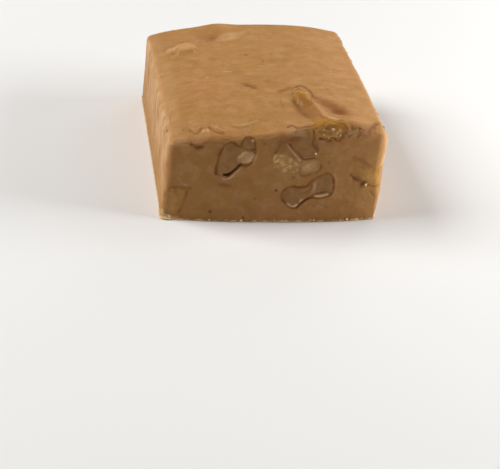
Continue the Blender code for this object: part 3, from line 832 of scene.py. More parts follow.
def wants_fine_detail(boxed, placed):
    """Whether a face is next to a feature or in a torn patch."""
    return (nearest_feature(placed) < FINE_REACH) | in_rough_patch(placed)


def shape_block(shape):
    """Refines the plain box where it needs detail, and brings it onto the block's surface."""
    refine(shape, wants_detail)
    refine(shape, wants_fine_detail)
    placed = block_surface(np.array([vertex.co for vertex in shape.verts]))
    for vertex, place in zip(shape.verts, placed):
        vertex.co = place


def ring_faces(rings, segments):
    """Faces between closed rings of points, with a fan to a point after them at each end."""
    first, final = rings * segments, rings * segments + 1
    top = (rings - 1) * segments
    faces = []
    for here in range(segments):
        after = (here + 1) % segments
        faces.append([first, after, here])
        faces.append([final, top + here, top + after])
        for low in range(0, top, segments):
            faces.append([low + here, low + after, low + segments + after, low + segments + here])
    return faces


def closed_mesh(name, points, faces, reshape=None):
    """A mesh in millimetres with outward faces, which may be given another shape first."""
    mesh = bpy.data.meshes.new(name)
    mesh.from_pydata(points, [], faces)
    shape = bmesh.new()
    shape.from_mesh(mesh)
    if reshape:
        reshape(shape)
    bmesh.ops.recalc_face_normals(shape, faces=shape.faces)
    shape.to_mesh(mesh)
    shape.free()
    return mesh


def linked(name, data, collection=None):
    """A new object in a collection, or else in the scene's own."""
    made = bpy.data.objects.new(name, data)
    (collection or bpy.context.scene.collection).objects.link(made)
    return made


def after_boolean(made, operation, **operand):
    """The mesh that an object's Boolean gives."""
    cut = made.modifiers.new("cut", "BOOLEAN")
    cut.operation = operation
    cut.solver = "MANIFOLD"
    for key, value in operand.items():
        setattr(cut, key, value)
    shown = made.evaluated_get(bpy.context.evaluated_depsgraph_get())
    return bpy.data.meshes.new_from_object(shown)


def mesh_points(mesh):
    """The places of a mesh's vertices."""
    flat = np.zeros(len(mesh.vertices) * 3)
    mesh.vertices.foreach_get("co", flat)
    return flat.reshape(-1, 3)


def set_points(mesh, points):
    """Moves a mesh's vertices and leaves its edges and faces."""
    mesh.vertices.foreach_set("co", np.ascontiguousarray(points, np.float32).ravel())
    mesh.update()


def set_shares(mesh, shares):
    """Keeps values from 0 to 1 for each vertex, by name, for the materials to read."""
    for name, values in shares.items():
        kept = mesh.attributes.new(name, "FLOAT", "POINT")
        kept.data.foreach_set("value", np.clip(values, 0, 1).astype(np.float32))


# ---------------------------------------------------------------- kernels

KERNEL_SEED = 40  # of the noise that wobbles the first kernel's outline
KERNEL_SEED_STEP = 10  # from one kernel to the next
OUTSIDE = 1.6  # how far a sliced kernel's body stands out before it is sliced
KERNEL_GAP = 0.045  # between a kernel and its pocket, on average
KERNEL_GAP_WANDER = 0.03
OUTLINE_WOBBLE = 0.10
WOBBLE_LENGTH = 0.8
BOWL_RINGS = 9
SUNK_RINGS = 44
SUNK_ROUNDNESS = 0.8  # 1 is an ellipse, and less is blunter
SUNK_RISE = 0.55  # how far the sunk kernel stands above the skin
SUNK_LUMPS = 0.20
SUNK_LUMP_LENGTH = 1.5
RIM_WIDTH = 0.33  # of a kernel's own dark skin, where it is sliced through
RIM_WANDER = 0.55
RIM_WANDER_LENGTH = 1.7
RIM_FADE = 0.7  # of its width
RIM_BROWN = (0.35, 0.85)  # how brown it is at least, and on average


def shrunk(ring, margin):
    """A closed outline moved inwards by a margin at each of its points."""
    ahead = np.roll(ring, -1, axis=0) - np.roll(ring, 1, axis=0)
    normal = np.stack([ahead[:, 1], -ahead[:, 0]], axis=1)
    normal /= np.linalg.norm(normal, axis=1, keepdims=True)
    area = np.sum(ring[:, 0] * np.roll(ring[:, 1], -1) - ring[:, 1] * np.roll(ring[:, 0], -1))
    return ring - np.sign(area) * normal * np.reshape(margin, (-1, 1))


def bowl_profile(depth):
    """Depths and widths of a sliced kernel's rings, and the depths of its two ends."""
    turn = np.linspace(0, math.pi / 2, BOWL_RINGS)[:-1]
    depths = np.concatenate([[-OUTSIDE], depth * np.sin(turn)])
    widths = np.concatenate([[1.0], np.sqrt(np.cos(turn))])
    return depths, widths, -OUTSIDE, depth


def whole_profile(depth):
    """Depths and widths of a whole kernel's rings, and the depths of its two ends."""
    turn = np.linspace(0, math.pi, SUNK_RINGS + 2)[1:-1]
    middle, half = (depth - SUNK_RISE) / 2, (depth + SUNK_RISE) / 2
    return middle - half * np.cos(turn), np.sin(turn) ** SUNK_ROUNDNESS, -SUNK_RISE, depth


def kernel_body(name, is_pocket):
    """Points and faces of a kernel's body or of its pocket, which is a little larger."""
    side, outline, depth = KERNELS[name]
    ring = spline(outline, OUTLINE_STEP, closed=True)
    level = np.pad(ring, ((0, 0), (0, 1)))
    seed = KERNEL_SEED + KERNEL_SEED_STEP * sorted(KERNELS).index(name)
    wobble = OUTLINE_WOBBLE * smooth_noise(level, WOBBLE_LENGTH, seed)
    gap = KERNEL_GAP + KERNEL_GAP_WANDER * smooth_noise(level, 2 * WOBBLE_LENGTH, seed + 1)
    gap *= RIM_STRENGTH.get(name, 1)
    ring = shrunk(ring, wobble + (0 if is_pocket else gap))
    centre = ring.mean(axis=0)
    profile = whole_profile if side == "top" else bowl_profile
    depths, widths, first, final = profile(depth)
    grown = gap.mean() if is_pocket else 0
    rings = [inside(side, centre + (ring - centre) * w, d + grown) for d, w in zip(depths, widths)]
    rings += [inside(side, centre[None], end) for end in (first, final + grown)]
    return np.concatenate(rings).tolist(), ring_faces(len(depths), len(ring))


# ---------------------------------------------------------------- relief and tints

# How far a surface faces up, a patch's side or sideways where these start, and where they are full.
SKIN_TURN = (0.35, 0.75)
PATCH_TURN = (0.1, 0.5)
BLOOM_TURN = (0.3, 0.8)
GRAIN = 0.035
GRAIN_LENGTH = 0.9
SKIN_SMOOTHNESS = 0.6  # share of the grain that the skin lacks
DRAG = 0.05  # streaks of the knife on the left and right cuts
FRONT_DRAG = 0.35  # share of them that the front and back cuts have
DRAG_LENGTHS = (1.3, 1.9, 6.0)
SKIN_STREAK = 0.035
SKIN_STREAK_LENGTHS = (14.0, 1.5, 14.0)
EDGE_NIBBLE = 0.20
EDGE_NIBBLE_LENGTH = 1.5
RIM_LIP = 0.06
RIM_LIP_WIDTH = 0.25
RIM_LIP_PLACE = 1.2  # its distance from the outline, in widths
RIM_DIP = 0.10
RIM_DIP_WIDTH = 0.15
HALO_WIDTH = 0.27  # of the brown fringe in the fudge round a kernel
MARK_WANDER = 0.4
MARK_WANDER_LENGTH = 0.7
MARK_FADE = 0.4
MARK_FADE_LENGTH = 1.5
SPOT_SHARPNESS = 4  # power of the distance at which a spot fades
PATCH_WANDER = 0.28
PATCH_WANDER_LENGTH = 1.1
ROUGH_LENGTH = 1.1
BLOOM = 0.40  # how pale the streaks are that the knife dragged down the sides
BLOOM_RISE = 12  # height over which they come in, so the cuts are darker towards the base: painted shade
BLOOM_CONTRAST = 0.8
FOOT_LIP = 0.18  # how far the burr stands out
FOOT_CORNER_LIP = 0.55  # and where it is thickest
FOOT_LIP_HEIGHT = 0.55
FOOT_LIP_SLOPE = 0.30
FOOT_LENGTH = 1.3  # over which the burr varies
FOOT_RAGGEDNESS = 0.8
FOOT_LOW = 0.4  # share of its height where there is least of it
FOOT_MOST = 1.3  # of its reach
FOOT_CORNER = (-25.0, -28.6)  # where the burr along the base is thickest
FOOT_CORNER_REACH = 4.0
FOOT_CORNER_GAIN = 0.6


def skin_share(outward):
    """How far a surface belongs to the skin on top and not to a cut, from 0 to 1."""
    return risen(outward[:, 2], *SKIN_TURN)


def plain_relief(points, outward):
    """Grain, drag of the knife, streaks of the skin and nibbled edges."""
    skin = skin_share(outward)
    grain = GRAIN * rough_noise(points, GRAIN_LENGTH, seed=70)
    drag = DRAG * rough_noise(points, DRAG_LENGTHS, seed=80, octaves=2)
    drag *= (1 - skin) * (FRONT_DRAG + (1 - FRONT_DRAG) * np.abs(outward[:, 0]))
    streaks = SKIN_STREAK * rough_noise(points, SKIN_STREAK_LENGTHS, seed=90, octaves=2)
    edge = 4 * skin * (1 - skin)
    nibble = EDGE_NIBBLE * rough_noise(points, EDGE_NIBBLE_LENGTH, seed=95)
    return grain * (1 - SKIN_SMOOTHNESS * skin) + drag + streaks * skin + nibble * edge


def dragged_bloom(points, outward):
    """How pale the left and right cuts are, in streaks down them, fading towards the base as painted
    shade.
    """
    streaks = eased(0.5 + BLOOM_CONTRAST * rough_noise(points, DRAG_LENGTHS, seed=84))
    sideways = risen(np.abs(outward[:, 0]), *BLOOM_TURN)
    return BLOOM * eased(points[:, 2] / BLOOM_RISE) * streaks * sideways


def patch_share(points, outward, wander, patch):
    """How far each point belongs to a patch, from 0 to 1."""
    side, *_, softness, _ = patch
    reach = patch_reach(points, patch) + PATCH_WANDER * wander
    facing = risen(outward @ np.array(SIDES[side][1]), *PATCH_TURN)
    return (1 - stepped(reach - 1, softness)) * facing


def features_at(points, outward):
    """Relief and tints that the marks, patches and spots give each point."""
    wander = rough_noise(points, MARK_WANDER_LENGTH, seed=120)
    fade = 1 - MARK_FADE * eased(smooth_noise(points, MARK_FADE_LENGTH, seed=122) + 0.5)
    shares = []
    for name, (_, _, width, look) in MARKS.items():
        distance = distance_to(points, MARK_PATHS[name])
        share = np.exp(-((distance / (width * (1 + MARK_WANDER * wander))) ** 2))
        shares.append((look, share * fade * (distance < FAR)))
    patch_wander = rough_noise(points, PATCH_WANDER_LENGTH, seed=125)
    for patch in PATCHES.values():
        shares.append((patch[-1], patch_share(points, outward, patch_wander, patch)))
    for place, (_, _, radius, look) in zip(SPOT_PLACES, ALL_SPOTS):
        distance = np.linalg.norm(points - place, axis=1) / radius
        distance *= 1 + MARK_WANDER * wander
        shares.append((look, np.exp(-(distance**SPOT_SHARPNESS))))
    relief = sum(look.relief * share for look, share in shares)
    roughness = np.max([look.rough * share for look, share in shares if look.rough], axis=0)
    relief += roughness * rough_noise(points, ROUGH_LENGTH, seed=130)
    tints = {
        tint: np.max([getattr(look, tint) * share for look, share in shares], axis=0)
        for tint in TINTS
    }
    return relief, tints


def rim_share(points, distance, width):
    """How brown the rim of a kernel is, which fades at an uneven distance from its outline."""
    wander = rough_noise(points, RIM_WANDER_LENGTH, seed=150)
    reach = distance / (width * (1 + RIM_WANDER * wander))
    least, average = RIM_BROWN
    return (1 - stepped(reach - 1, RIM_FADE)) * np.clip(average + wander, least, 1)


def kernel_surrounds(points):
    """The raised lip and the brown fringe of the fudge round the kernels, each up to 1."""
    lip, halo = np.zeros(len(points)), np.zeros(len(points))
    for name, path in OUTLINE_PATHS.items():
        distance = distance_to(points, path)
        strength = RIM_STRENGTH.get(name, 1)
        lip = np.maximum(lip, strength * np.exp(-((distance / RIM_LIP_WIDTH - RIM_LIP_PLACE) ** 2)))
        halo = np.maximum(halo, strength * rim_share(points, distance, HALO_WIDTH))
    return lip, halo


def foot_lip(points, outward):
    """How far the ragged burr along the base stands out sideways, and how much of it shows."""
    level = points * np.array([1, 1, 0])
    ragged = rough_noise(level, FOOT_LENGTH, seed=140)
    corner = np.exp(-((np.linalg.norm(points[:, :2] - FOOT_CORNER, axis=1) / FOOT_CORNER_REACH) ** 2))
    amount = np.clip(0.5 + FOOT_RAGGEDNESS * ragged + FOOT_CORNER_GAIN * corner, 0, FOOT_MOST)
    height = FOOT_LIP_HEIGHT * (FOOT_LOW + (1 - FOOT_LOW) * amount)
    sideways = np.linalg.norm(outward[:, :2], axis=1)
    share = stepped(height - points[:, 2], FOOT_LIP_SLOPE) * eased(2 * sideways)
    reach = FOOT_LIP + (FOOT_CORNER_LIP - FOOT_LIP) * corner
    return share * (BASE_EDGE_RADIUS * (1 - sideways) + reach * amount), share * np.minimum(amount, 1)


def finish_block(mesh):
    """Gives the block its fine relief and the shares that its material reads."""
    points = mesh_points(mesh)
    outward, depth = near_surface(points)
    surface = 1 - risen(depth, *SKIN_DEPTH)
    relief, tints = features_at(points, outward)
    lip, halo = kernel_surrounds(points)
    halo *= 1 - tints["torn"]
    relief += plain_relief(points, outward) + RIM_LIP * lip
    relief *= surface * eased(points[:, 2] / BASE_EDGE_RADIUS)
    burr, burr_share = foot_lip(points, outward)
    level = outward * np.array([1, 1, 0])
    level /= np.maximum(np.linalg.norm(level, axis=1, keepdims=True), TINY)
    moved_points = points + outward * relief[:, None] + level * (burr * surface)[:, None]
    moved_points[:, 2] = np.maximum(moved_points[:, 2], 0)
    set_points(mesh, moved_points * MM)
    for paleness in (burr_share * surface, dragged_bloom(points, outward)):
        tints["pale"] = np.maximum(tints["pale"], paleness)
    set_shares(mesh, {**tints, "skin": skin_share(outward), "rim": halo})


def finish_kernel(mesh, name):
    """Gives a kernel its relief and the shares that its material reads."""
    points = mesh_points(mesh)
    outward, depth = near_surface(points)
    rim = distance_to(points, OUTLINE_PATHS[name])
    relief, tints = features_at(points, outward)
    strength = RIM_STRENGTH.get(name, 1)
    brown = strength * rim_share(points, rim, RIM_WIDTH) * (1 - tints["torn"])
    if KERNELS[name][0] == "top":
        surface = np.ones(len(points))
        relief += SUNK_LUMPS * rough_noise(points, SUNK_LUMP_LENGTH, seed=155)
    else:
        surface = 1 - risen(depth, *SKIN_DEPTH)
        relief -= RIM_DIP * strength * np.exp(-rim / RIM_DIP_WIDTH)
    relief += GRAIN * rough_noise(points, GRAIN_LENGTH, seed=70)
    set_points(mesh, (points + outward * (relief * surface)[:, None]) * MM)
    tints["gold"] = np.maximum(tints["gold"], KERNEL_GOLD.get(name, 0))
    set_shares(mesh, {**tints, "rim": np.maximum(brown, 1 - surface)})


# ---------------------------------------------------------------- crumbs

CRUMB_SEED = 8
CRUMB_RISE = 0.3  # share of a crumb's radius that its middle stands above the surface
CRUMB_BASE_RISE = 0.6  # and above the floor at least
CRUMB_LUMPS = 0.35
CRUMB_LUMP_LENGTH = 0.8
CRUMB_STRIDE = 7.3  # between the crumbs' places in the noise that shapes them
CRUMB_PALENESS = (0.5, 1)  # share of its row's paleness that a crumb has
BALL_LEVEL = 2  # how finely a crumb's ball is divided

# Rows of crumbs: name: (side, start, end, scatter, count, (smallest, largest) radius, paleness).
CRUMB_ROWS = {
    "front_foot": ("front", (-25.0, 0.35), (25.0, 0.35), 0.2, 60, (0.10, 0.24), 0.8),
    "front_left_foot": ("front", (-25.3, 1.4), (-22.6, 0.3), 0.2, 14, (0.14, 0.28), 1.0),
    "left_foot": ("left", (-29.0, 0.35), (29.0, 0.35), 0.2, 20, (0.07, 0.14), 0.6),
    "right_foot": ("right", (-28.0, 0.35), (29.0, 0.35), 0.2, 44, (0.10, 0.22), 0.6),
    "back_foot": ("back", (-25.0, 0.35), (25.0, 0.35), 0.2, 40, (0.10, 0.22), 0.6),
    "top_edge_kernel": ("front", (8.4, 24.2), (13.9, 23.8), 0.8, 8, (0.12, 0.22), 0.15),
    "beside_top_edge_kernel": ("front", (14.6, 25.2), (20.0, 24.4), 0.7, 12, (0.10, 0.20), 0.1),
    "left_kernel": ("front", (-8.7, 16.4), (-6.0, 18.2), 0.5, 12, (0.08, 0.18), 0.7),
    "left_kernel_gap": ("front", (-13.4, 11.8), (-9.6, 12.3), 0.25, 9, (0.08, 0.16), 0.5),
    "middle_kernel": ("front", (-0.3, 16.9), (5.0, 14.0), 0.8, 14, (0.08, 0.17), 0.6),
    "front_edge": ("front", (-24.0, 22.6), (4.0, 25.0), 0.5, 9, (0.07, 0.14), 0.1),
    "left_edge": ("left", (-28.0, 20.6), (28.0, 17.6), 0.6, 22, (0.07, 0.14), 0.3),
    "right_edge": ("right", (-27.0, 23.2), (28.0, 20.4), 0.5, 26, (0.08, 0.20), 0.3),
    "back_edge": ("back", (-24.0, 18.6), (24.0, 21.6), 0.5, 22, (0.08, 0.20), 0.3),
    "right_kernel": ("right", (-10.8, 16.0), (-8.6, 17.6), 0.5, 10, (0.08, 0.18), 0.6),
    "back_kernel": ("back", (15.2, 12.6), (18.0, 13.8), 0.6, 12, (0.08, 0.18), 0.6),
}
# Crumbs that stand alone: (side, place, radius, paleness).
CRUMBS = [
    ("front", (8.4, 18.6), 0.28, 1.0),
    ("front", (21.1, 10.0), 0.34, 1.0),
    ("front", (25.4, 13.7), 0.24, 1.0),
    ("left", (-22.0, 19.0), 0.34, 1.0),
    ("left", (-23.4, 19.3), 0.30, 0.9),
    ("front", (11.7, 24.8), 0.34, 0.5),
    ("front", (13.4, 23.4), 0.30, 0.4),
    ("front", (9.6, 24.6), 0.28, 0.1),
    ("front", (9.7, 23.5), 0.24, 0.2),
    ("front", (-6.9, 0.3), 0.38, 1.0),
    ("front", (-14.3, 0.4), 0.24, 0.9),
    ("front", (-23.5, 0.8), 0.40, 1.0),
    ("front", (18.3, 0.5), 0.34, 1.0),
    ("front", (3.7, 0.4), 0.28, 0.9),
    ("front", (10.3, 0.5), 0.28, 0.9),
]


def crumb_seats():
    """Side, place on it, radius and paleness of each crumb."""
    draw = np.random.default_rng(CRUMB_SEED)
    seats = list(CRUMBS)
    for side, start, end, scatter, count, (small, large), paleness in CRUMB_ROWS.values():
        for _ in range(count):
            place = np.array(start) + draw.random() * (np.array(end) - start)
            place += scatter * draw.uniform(-1, 1, 2)
            radius = small + (large - small) * draw.random() ** 2
            seats.append((side, place, radius, paleness * draw.uniform(*CRUMB_PALENESS)))
    return seats


def crumb_centres(sides, places, radii):
    """Where the middles of the crumbs are, each partly sunk in the surface."""
    centres = np.zeros((len(sides), 3))
    for side in SIDES:
        centres[sides == side] = on_surface(side, places[sides == side])
    centres += near_surface(centres)[0] * radii[:, None] * CRUMB_RISE
    centres[:, 2] = np.maximum(centres[:, 2], radii * CRUMB_BASE_RISE)
    return centres


def unit_ball():
    """Points and faces of a ball of radius 1."""
    shape = bmesh.new()
    bmesh.ops.create_icosphere(shape, subdivisions=BALL_LEVEL, radius=1)
    points = np.array([vertex.co for vertex in shape.verts])
    faces = np.array([[vertex.index for vertex in face.verts] for face in shape.faces])
    shape.free()
    return points, faces


def crumbs_mesh():
    """Small uneven lumps that cling to the cuts, the edges and the base."""
    sides, places, radii, paleness = (np.array(kept) for kept in zip(*crumb_seats()))
    ball, faces = unit_ball()
    numbers = np.arange(len(sides))[:, None, None]
    shapes = (ball / CRUMB_LUMP_LENGTH + CRUMB_STRIDE * numbers).reshape(-1, 3)
    lumpy = 1 + CRUMB_LUMPS * smooth_noise(shapes, 1, seed=160)
    points = ball * lumpy.reshape(-1, len(ball), 1) * radii[:, None, None]
    points += crumb_centres(sides, places, radii)[:, None]
    points[:, :, 2] = np.maximum(points[:, :, 2], 0)
    mesh = bpy.data.meshes.new("crumbs")
    every_face = (faces + len(ball) * numbers).reshape(-1, 3)
    mesh.from_pydata((points * MM).reshape(-1, 3).tolist(), [], every_face.tolist())
    set_shares(mesh, {"pale": np.repeat(paleness, len(ball))})
    return mesh


# ---------------------------------------------------------------- materials

FUDGE_LIGHT = (0.456, 0.228, 0.069, 1)
FUDGE_DEEP = (0.408, 0.203, 0.060, 1)
FUDGE_ROSY = (0.450, 0.219, 0.071, 1)
FUDGE_STAIN = (0.270, 0.100, 0.030, 1)
FUDGE_DARK = (0.100, 0.034, 0.009, 1)
FUDGE_PALE = (0.800, 0.545, 0.320, 1)
FUDGE_GOLD = (0.480, 0.235, 0.042, 1)
KERNEL_LIGHT = (0.335, 0.165, 0.054, 1)
KERNEL_DEEP = (0.268, 0.132, 0.044, 1)
GOLDEN_LIGHT = (0.500, 0.245, 0.050, 1)
GOLDEN_DEEP = (0.400, 0.185, 0.033, 1)
TORN_LIGHT = (0.640, 0.390, 0.150, 1)
TORN_DEEP = (0.390, 0.208, 0.062, 1)
PELLICLE = (0.220, 0.075, 0.017, 1)
# The tints that fudge and walnut share, in the order in which they cover each other.
SHARED_TINTS = [
    ("stain", FUDGE_STAIN), ("rim", PELLICLE), ("pale", FUDGE_PALE), ("dark", FUDGE_DARK),
]


class Pattern(NamedTuple):
    """Noise that is brought to the share of a colour."""

    wavelength: float  # in mm
    detail: float
    start: float  # value of the noise at which there is least of the colour
    full: float  # and at which there is most
    most: float = 1.0
    least: float = 0.0
    stretch: tuple = (1, 1, 1)
    turn: tuple = (0, 0, 0)  # in degrees


FUDGE_TONE = Pattern(3.5, 5, 0.36, 0.64)
FUDGE_BLUSH = Pattern(9, 3, 0.42, 0.62)
SKIN_STREAKS = Pattern(1.1, 3, 0.46, 0.72, most=0.10, least=0.02, stretch=(4, 1, 4))
FUDGE_SPECKLES = [
    (FUDGE_STAIN, Pattern(2.4, 2, 0.42, 0.66, most=0.14)),
    (FUDGE_PALE, Pattern(3.0, 2, 0.46, 0.70, most=0.10)),
    (FUDGE_STAIN, Pattern(0.7, 2, 0.44, 0.68, most=0.10)),
    (FUDGE_PALE, Pattern(0.8, 2, 0.66, 0.74, most=0.12)),
    (FUDGE_STAIN, Pattern(1.1, 2, 0.67, 0.75, most=0.18)),
]
CUT_PAINTED_SHADE = 0.18  # share of the dark colour in the cuts: painted shade that darkens them against the skin
KERNEL_TONE = Pattern(1.8, 4, 0.36, 0.66)
TORN_FLECKS = Pattern(0.9, 2, 0.38, 0.66, stretch=(1.7, 1, 1), turn=(0, -35, 0))

SKIN_ROUGHNESS = 0.58
CUT_ROUGHNESS = 0.70
CRUMB_ROUGHNESS = 0.70
KERNEL_ROUGHNESS = {"cut_walnut": 0.50, "golden_walnut": 0.42}
FUDGE_GLOSS, KERNEL_GLOSS, CRUMB_GLOSS = 0.14, 0.15, 0.25
# Light under the surface: (share of it, how far it goes in mm).
FUDGE_TRANSLUCENCY = (0.35, 1.5)
KERNEL_TRANSLUCENCY = (0.2, 0.8)
TRANSLUCENT_COLOURS = (1.0, 0.5, 0.25)  # share of that way for red, green and blue
# Relief too fine for the mesh: (wavelength, distance), both in mm.
BUMP_DETAIL = 3
FUDGE_BUMPS = [(2.2, 0.10), (0.5, 0.04)]
KERNEL_BUMPS = [(1.4, 0.10), (0.4, 0.04)]
CRUMB_BUMPS = [(0.25, 0.03)]
MIX_ONE, MIX_TWO, MIX_RESULT = 6, 7, 2  # sockets of a mixing node that hold colours


def new_material(name):
    """A material, its node tree and its shader."""
    made = bpy.data.materials.new(name)
    made.use_nodes = True
    tree = made.node_tree
    return made, tree, tree.nodes["Principled BSDF"]


def feed(tree, socket, value):
    """Gives a socket a node's output, or a plain number or colour."""
    if isinstance(value, bpy.types.NodeSocket):
        tree.links.new(value, socket)
    else:
        socket.default_value = value


def node(tree, kind, inputs=None, **settings):
    """The outputs of a new node with these inputs and settings."""
    made = tree.nodes.new(kind)
    for name, value in settings.items():
        setattr(made, name, value)
    for key, value in (inputs or {}).items():
        feed(tree, made.inputs[key], value)
    return made.outputs


def noise(tree, wavelength, detail, stretch=(1, 1, 1), turn=(0, 0, 0)):
    """Noise that varies over about a wavelength in millimetres, stretched along turned axes."""
    place = node(tree, "ShaderNodeTexCoord")["Object"]
    angles = [math.radians(angle) for angle in turn]
    mapping = {"Vector": place, "Scale": stretch, "Rotation": angles}
    scaled = node(tree, "ShaderNodeMapping", mapping, vector_type="TEXTURE")["Vector"]
    waves = {"Vector": scaled, "Scale": 1 / (wavelength * MM), "Detail": detail}
    return node(tree, "ShaderNodeTexNoise", waves)["Fac"]


def spread(tree, value, low, high, to_low, to_high):
    """A value between two limits brought smoothly to two others."""
    inputs = {
        "Value": value, "From Min": low, "From Max": high, "To Min": to_low, "To Max": to_high
    }
    return node(tree, "ShaderNodeMapRange", inputs, interpolation_type="SMOOTHSTEP")["Result"]


def patterned(tree, pattern):
    """The share that a pattern gives."""
    value = noise(tree, pattern.wavelength, pattern.detail, pattern.stretch, pattern.turn)
    return spread(tree, value, pattern.start, pattern.full, pattern.least, pattern.most)


def product(tree, one, two):
    """Two values multiplied."""
    return node(tree, "ShaderNodeMath", {0: one, 1: two}, operation="MULTIPLY")["Value"]


def share_of(tree, name):
    """A share that the mesh keeps for each vertex."""
    return node(tree, "ShaderNodeAttribute", attribute_name=name)["Fac"]


def mixed(tree, share, one, two):
    """A colour between two others, each of them a colour or a node's output."""
    inputs = {"Factor": share, MIX_ONE: one, MIX_TWO: two}
    return node(tree, "ShaderNodeMix", inputs, data_type="RGBA")[MIX_RESULT]


def tinted(tree, colour, *tints):
    """A colour that turns into others where the mesh keeps their tints."""
    for tint, other in tints:
        colour = mixed(tree, share_of(tree, tint), colour, other)
    return colour


def bump(tree, shader, layers):
    """Fine relief that is too small for the mesh, from pairs of a wavelength and a distance."""
    under = {}
    for wavelength, distance in layers:
        height = noise(tree, wavelength, BUMP_DETAIL)
        inputs = {"Distance": distance * MM, "Height": height, **under}
        under = {"Normal": node(tree, "ShaderNodeBump", inputs)["Normal"]}
    feed(tree, shader.inputs["Normal"], under["Normal"])


def set_surface(tree, shader, colour, roughness, gloss, bumps):
    """Gives a shader its colour, its roughness and gloss, and its fine relief."""
    feed(tree, shader.inputs["Base Color"], colour)
    feed(tree, shader.inputs["Roughness"], roughness)
    shader.inputs["Specular IOR Level"].default_value = gloss
    bump(tree, shader, bumps)


def make_translucent(shader, share, radius):
    """Lets light pass a little way under the surface."""
    shader.inputs["Subsurface Weight"].default_value = share
    shader.inputs["Subsurface Radius"].default_value = TRANSLUCENT_COLOURS
    shader.inputs["Subsurface Scale"].default_value = radius * MM


def plain_fudge(tree):
    """Colour of fudge without its stains: mottled, streaked on the skin and speckled, with painted shade
    darkening the cuts.
    """
    skin = share_of(tree, "skin")
    colour = mixed(tree, patterned(tree, FUDGE_TONE), FUDGE_LIGHT, FUDGE_DEEP)
    colour = mixed(tree, patterned(tree, FUDGE_BLUSH), colour, FUDGE_ROSY)
    colour = mixed(tree, product(tree, patterned(tree, SKIN_STREAKS), skin), colour, FUDGE_PALE)
    # painted shade: the cuts are darkened against the skin
    colour = mixed(tree, spread(tree, skin, 0, 1, CUT_PAINTED_SHADE, 0), colour, FUDGE_DARK)
    for other, speckles in FUDGE_SPECKLES:
        colour = mixed(tree, patterned(tree, speckles), colour, other)
    return colour


def fudge_material():
    """Smooth dry skin on top, and a finer matt grain on the cuts."""
    made, tree, shader = new_material("fudge")
    colour = tinted(tree, plain_fudge(tree), ("gold", FUDGE_GOLD), *SHARED_TINTS)
    roughness = spread(tree, share_of(tree, "skin"), 0, 1, CUT_ROUGHNESS, SKIN_ROUGHNESS)
    set_surface(tree, shader, colour, roughness, FUDGE_GLOSS, FUDGE_BUMPS)
    make_translucent(shader, *FUDGE_TRANSLUCENCY)
    return made


def kernel_material(name):
    """Walnut sliced through, with its own dark skin round it and pale flecks where it is torn."""
    made, tree, shader = new_material(name)
    tone = patterned(tree, KERNEL_TONE)
    golden = mixed(tree, tone, GOLDEN_LIGHT, GOLDEN_DEEP)
    torn = mixed(tree, patterned(tree, TORN_FLECKS), TORN_DEEP, TORN_LIGHT)
    colour = mixed(tree, tone, KERNEL_LIGHT, KERNEL_DEEP)
    colour = tinted(tree, colour, ("gold", golden), ("torn", torn), *SHARED_TINTS)
    set_surface(tree, shader, colour, KERNEL_ROUGHNESS[name], KERNEL_GLOSS, KERNEL_BUMPS)
    make_translucent(shader, *KERNEL_TRANSLUCENCY)
    return made


def crumb_material():
    """Dry crumbs, paler than the block."""
    made, tree, shader = new_material("crumbs")
    colour = tinted(tree, plain_fudge(tree), ("pale", FUDGE_PALE))
    set_surface(tree, shader, colour, CRUMB_ROUGHNESS, CRUMB_GLOSS, CRUMB_BUMPS)
    return made


# ---------------------------------------------------------------- pieces


def finished_piece(name, mesh, finish):
    """A piece that rides on the root and takes its finish from a slot."""
    mesh.name = name
    mesh.materials.clear()
    mesh.materials.append(finish)
    mesh.shade_smooth()
    mesh.set_sharp_from_angle(angle=math.radians(SHARP_ANGLE))
    made = linked(name, mesh)
    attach(made, "root")
    return made


def sliced_kernel(name, whole, workshop):
    """A kernel's mesh, sliced level with the block's cut unless the kernel lies on top."""
    body = linked(name + "_body", closed_mesh("body", *kernel_body(name, False)), workshop)
    if KERNELS[name][0] == "top":
        return body.data.copy()
    return after_boolean(body, "INTERSECT", object=whole)


def make_fudge_and_walnuts():
    """The block with its pockets, and the kernels in them."""
    workshop = bpy.data.collections.new("workshop")
    pockets = bpy.data.collections.new("pockets")
    bpy.context.scene.collection.children.link(workshop)
    workshop.children.link(pockets)
    whole = linked("whole", closed_mesh("whole", *lattice(), shape_block), workshop)
    finishes = {name: kernel_material(name) for name in KERNEL_ROUGHNESS}
    for name in KERNELS:
        linked(name + "_pocket", closed_mesh("pocket", *kernel_body(name, True)), pockets)
        mesh = sliced_kernel(name, whole, workshop)
        finish_kernel(mesh, name)
        slot_name = "golden_walnut" if name in GOLDEN_KERNELS else "cut_walnut"
        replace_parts(finished_piece(name + "_look", mesh, finishes[slot_name]), name)
    mesh = after_boolean(whole, "DIFFERENCE", operand_type="COLLECTION", collection=pockets)
    finish_block(mesh)
    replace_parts(finished_piece("fudge_block_look", mesh, fudge_material()), "fudge_block")
    for group in (pockets, workshop):
        for old in list(group.objects):
            bpy.data.objects.remove(old)
        bpy.data.collections.remove(group)


# ---------------------------------------------------------------- camera, floor and light

CAMERA_PLACE = (-60.473, -297.407, 178.106)
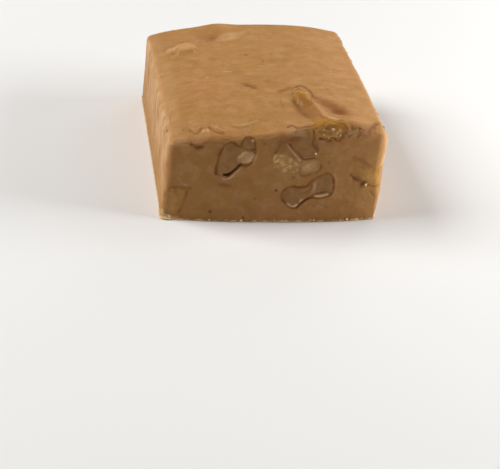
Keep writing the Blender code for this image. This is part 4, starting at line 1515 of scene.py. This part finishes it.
# From straight down: to the right, up, and a lean, in degrees about the camera's own axes.
CAMERA_TURNS = (("Z", -11.847), ("X", 56.393), ("Z", 6.833))
CAMERA_LENS = 101.33  # on a sensor 36 mm wide
CAMERA_START = 10  # it sees nothing nearer than this
FLOOR_SIZE = 4000
FLOOR_COLOUR = (0.86, 0.86, 0.86, 1)
FLOOR_ROUGHNESS = 0.9
WORLD_COLOUR = (1, 1, 1, 1)
WORLD_STRENGTH = 0.04

LIGHTS = {  # name: (place, size, power in watts, colour), aimed at the middle of the block
    "key": ((-500, 70, 470), 400, 4.75, (1.0, 0.98, 0.95)),
    "back": ((230, 330, 240), 300, 0.4, (1.0, 0.99, 0.97)),
    "right": ((380, -40, 120), 220, 1.95, (1.0, 0.99, 0.97)),
}


def make_camera():
    """The photograph's viewpoint."""
    data = bpy.data.cameras.new("camera")
    data.lens = CAMERA_LENS
    data.clip_start = CAMERA_START * MM
    made = linked("camera", data)
    made.matrix_world = Matrix.Translation(Vector(CAMERA_PLACE) * MM)
    for axis, angle in CAMERA_TURNS:
        made.matrix_world @= Matrix.Rotation(math.radians(angle), 4, axis)
    bpy.context.scene.camera = made


def make_floor():
    """A plain pale floor."""
    half = FLOOR_SIZE / 2 * MM
    corners = [(-half, -half, 0), (half, -half, 0), (half, half, 0), (-half, half, 0)]
    mesh = bpy.data.meshes.new("floor")
    mesh.from_pydata(corners, [], [(0, 1, 2, 3)])
    made, _, shader = new_material("floor")
    shader.inputs["Base Color"].default_value = FLOOR_COLOUR
    shader.inputs["Roughness"].default_value = FLOOR_ROUGHNESS
    mesh.materials.append(made)
    floor = linked("floor", mesh)


def make_lights():
    """Soft light from the left, from behind and from the right, and a faint light all round."""
    for name, (place, size, power, colour) in LIGHTS.items():
        data = bpy.data.lights.new(name, "AREA")
        data.size = size * MM
        data.energy = power
        data.color = colour
        made = linked(name, data)
        made.location = Vector(place) * MM
        aim = Vector((0, 0, BODY_HEIGHT / 2)) * MM - made.location
        made.rotation_euler = aim.to_track_quat("-Z", "Y").to_euler()
    world = bpy.data.worlds.new("world")
    world.use_nodes = True
    sky = world.node_tree.nodes["Background"].inputs
    sky["Strength"].default_value = WORLD_STRENGTH
    sky["Color"].default_value = WORLD_COLOUR
    bpy.context.scene.world = world


make_camera()
make_fudge_and_walnuts()
finished_piece("crumbs_look", crumbs_mesh(), crumb_material())
make_floor()
make_lights()
bpy.context.scene.view_settings.view_transform = "Standard"
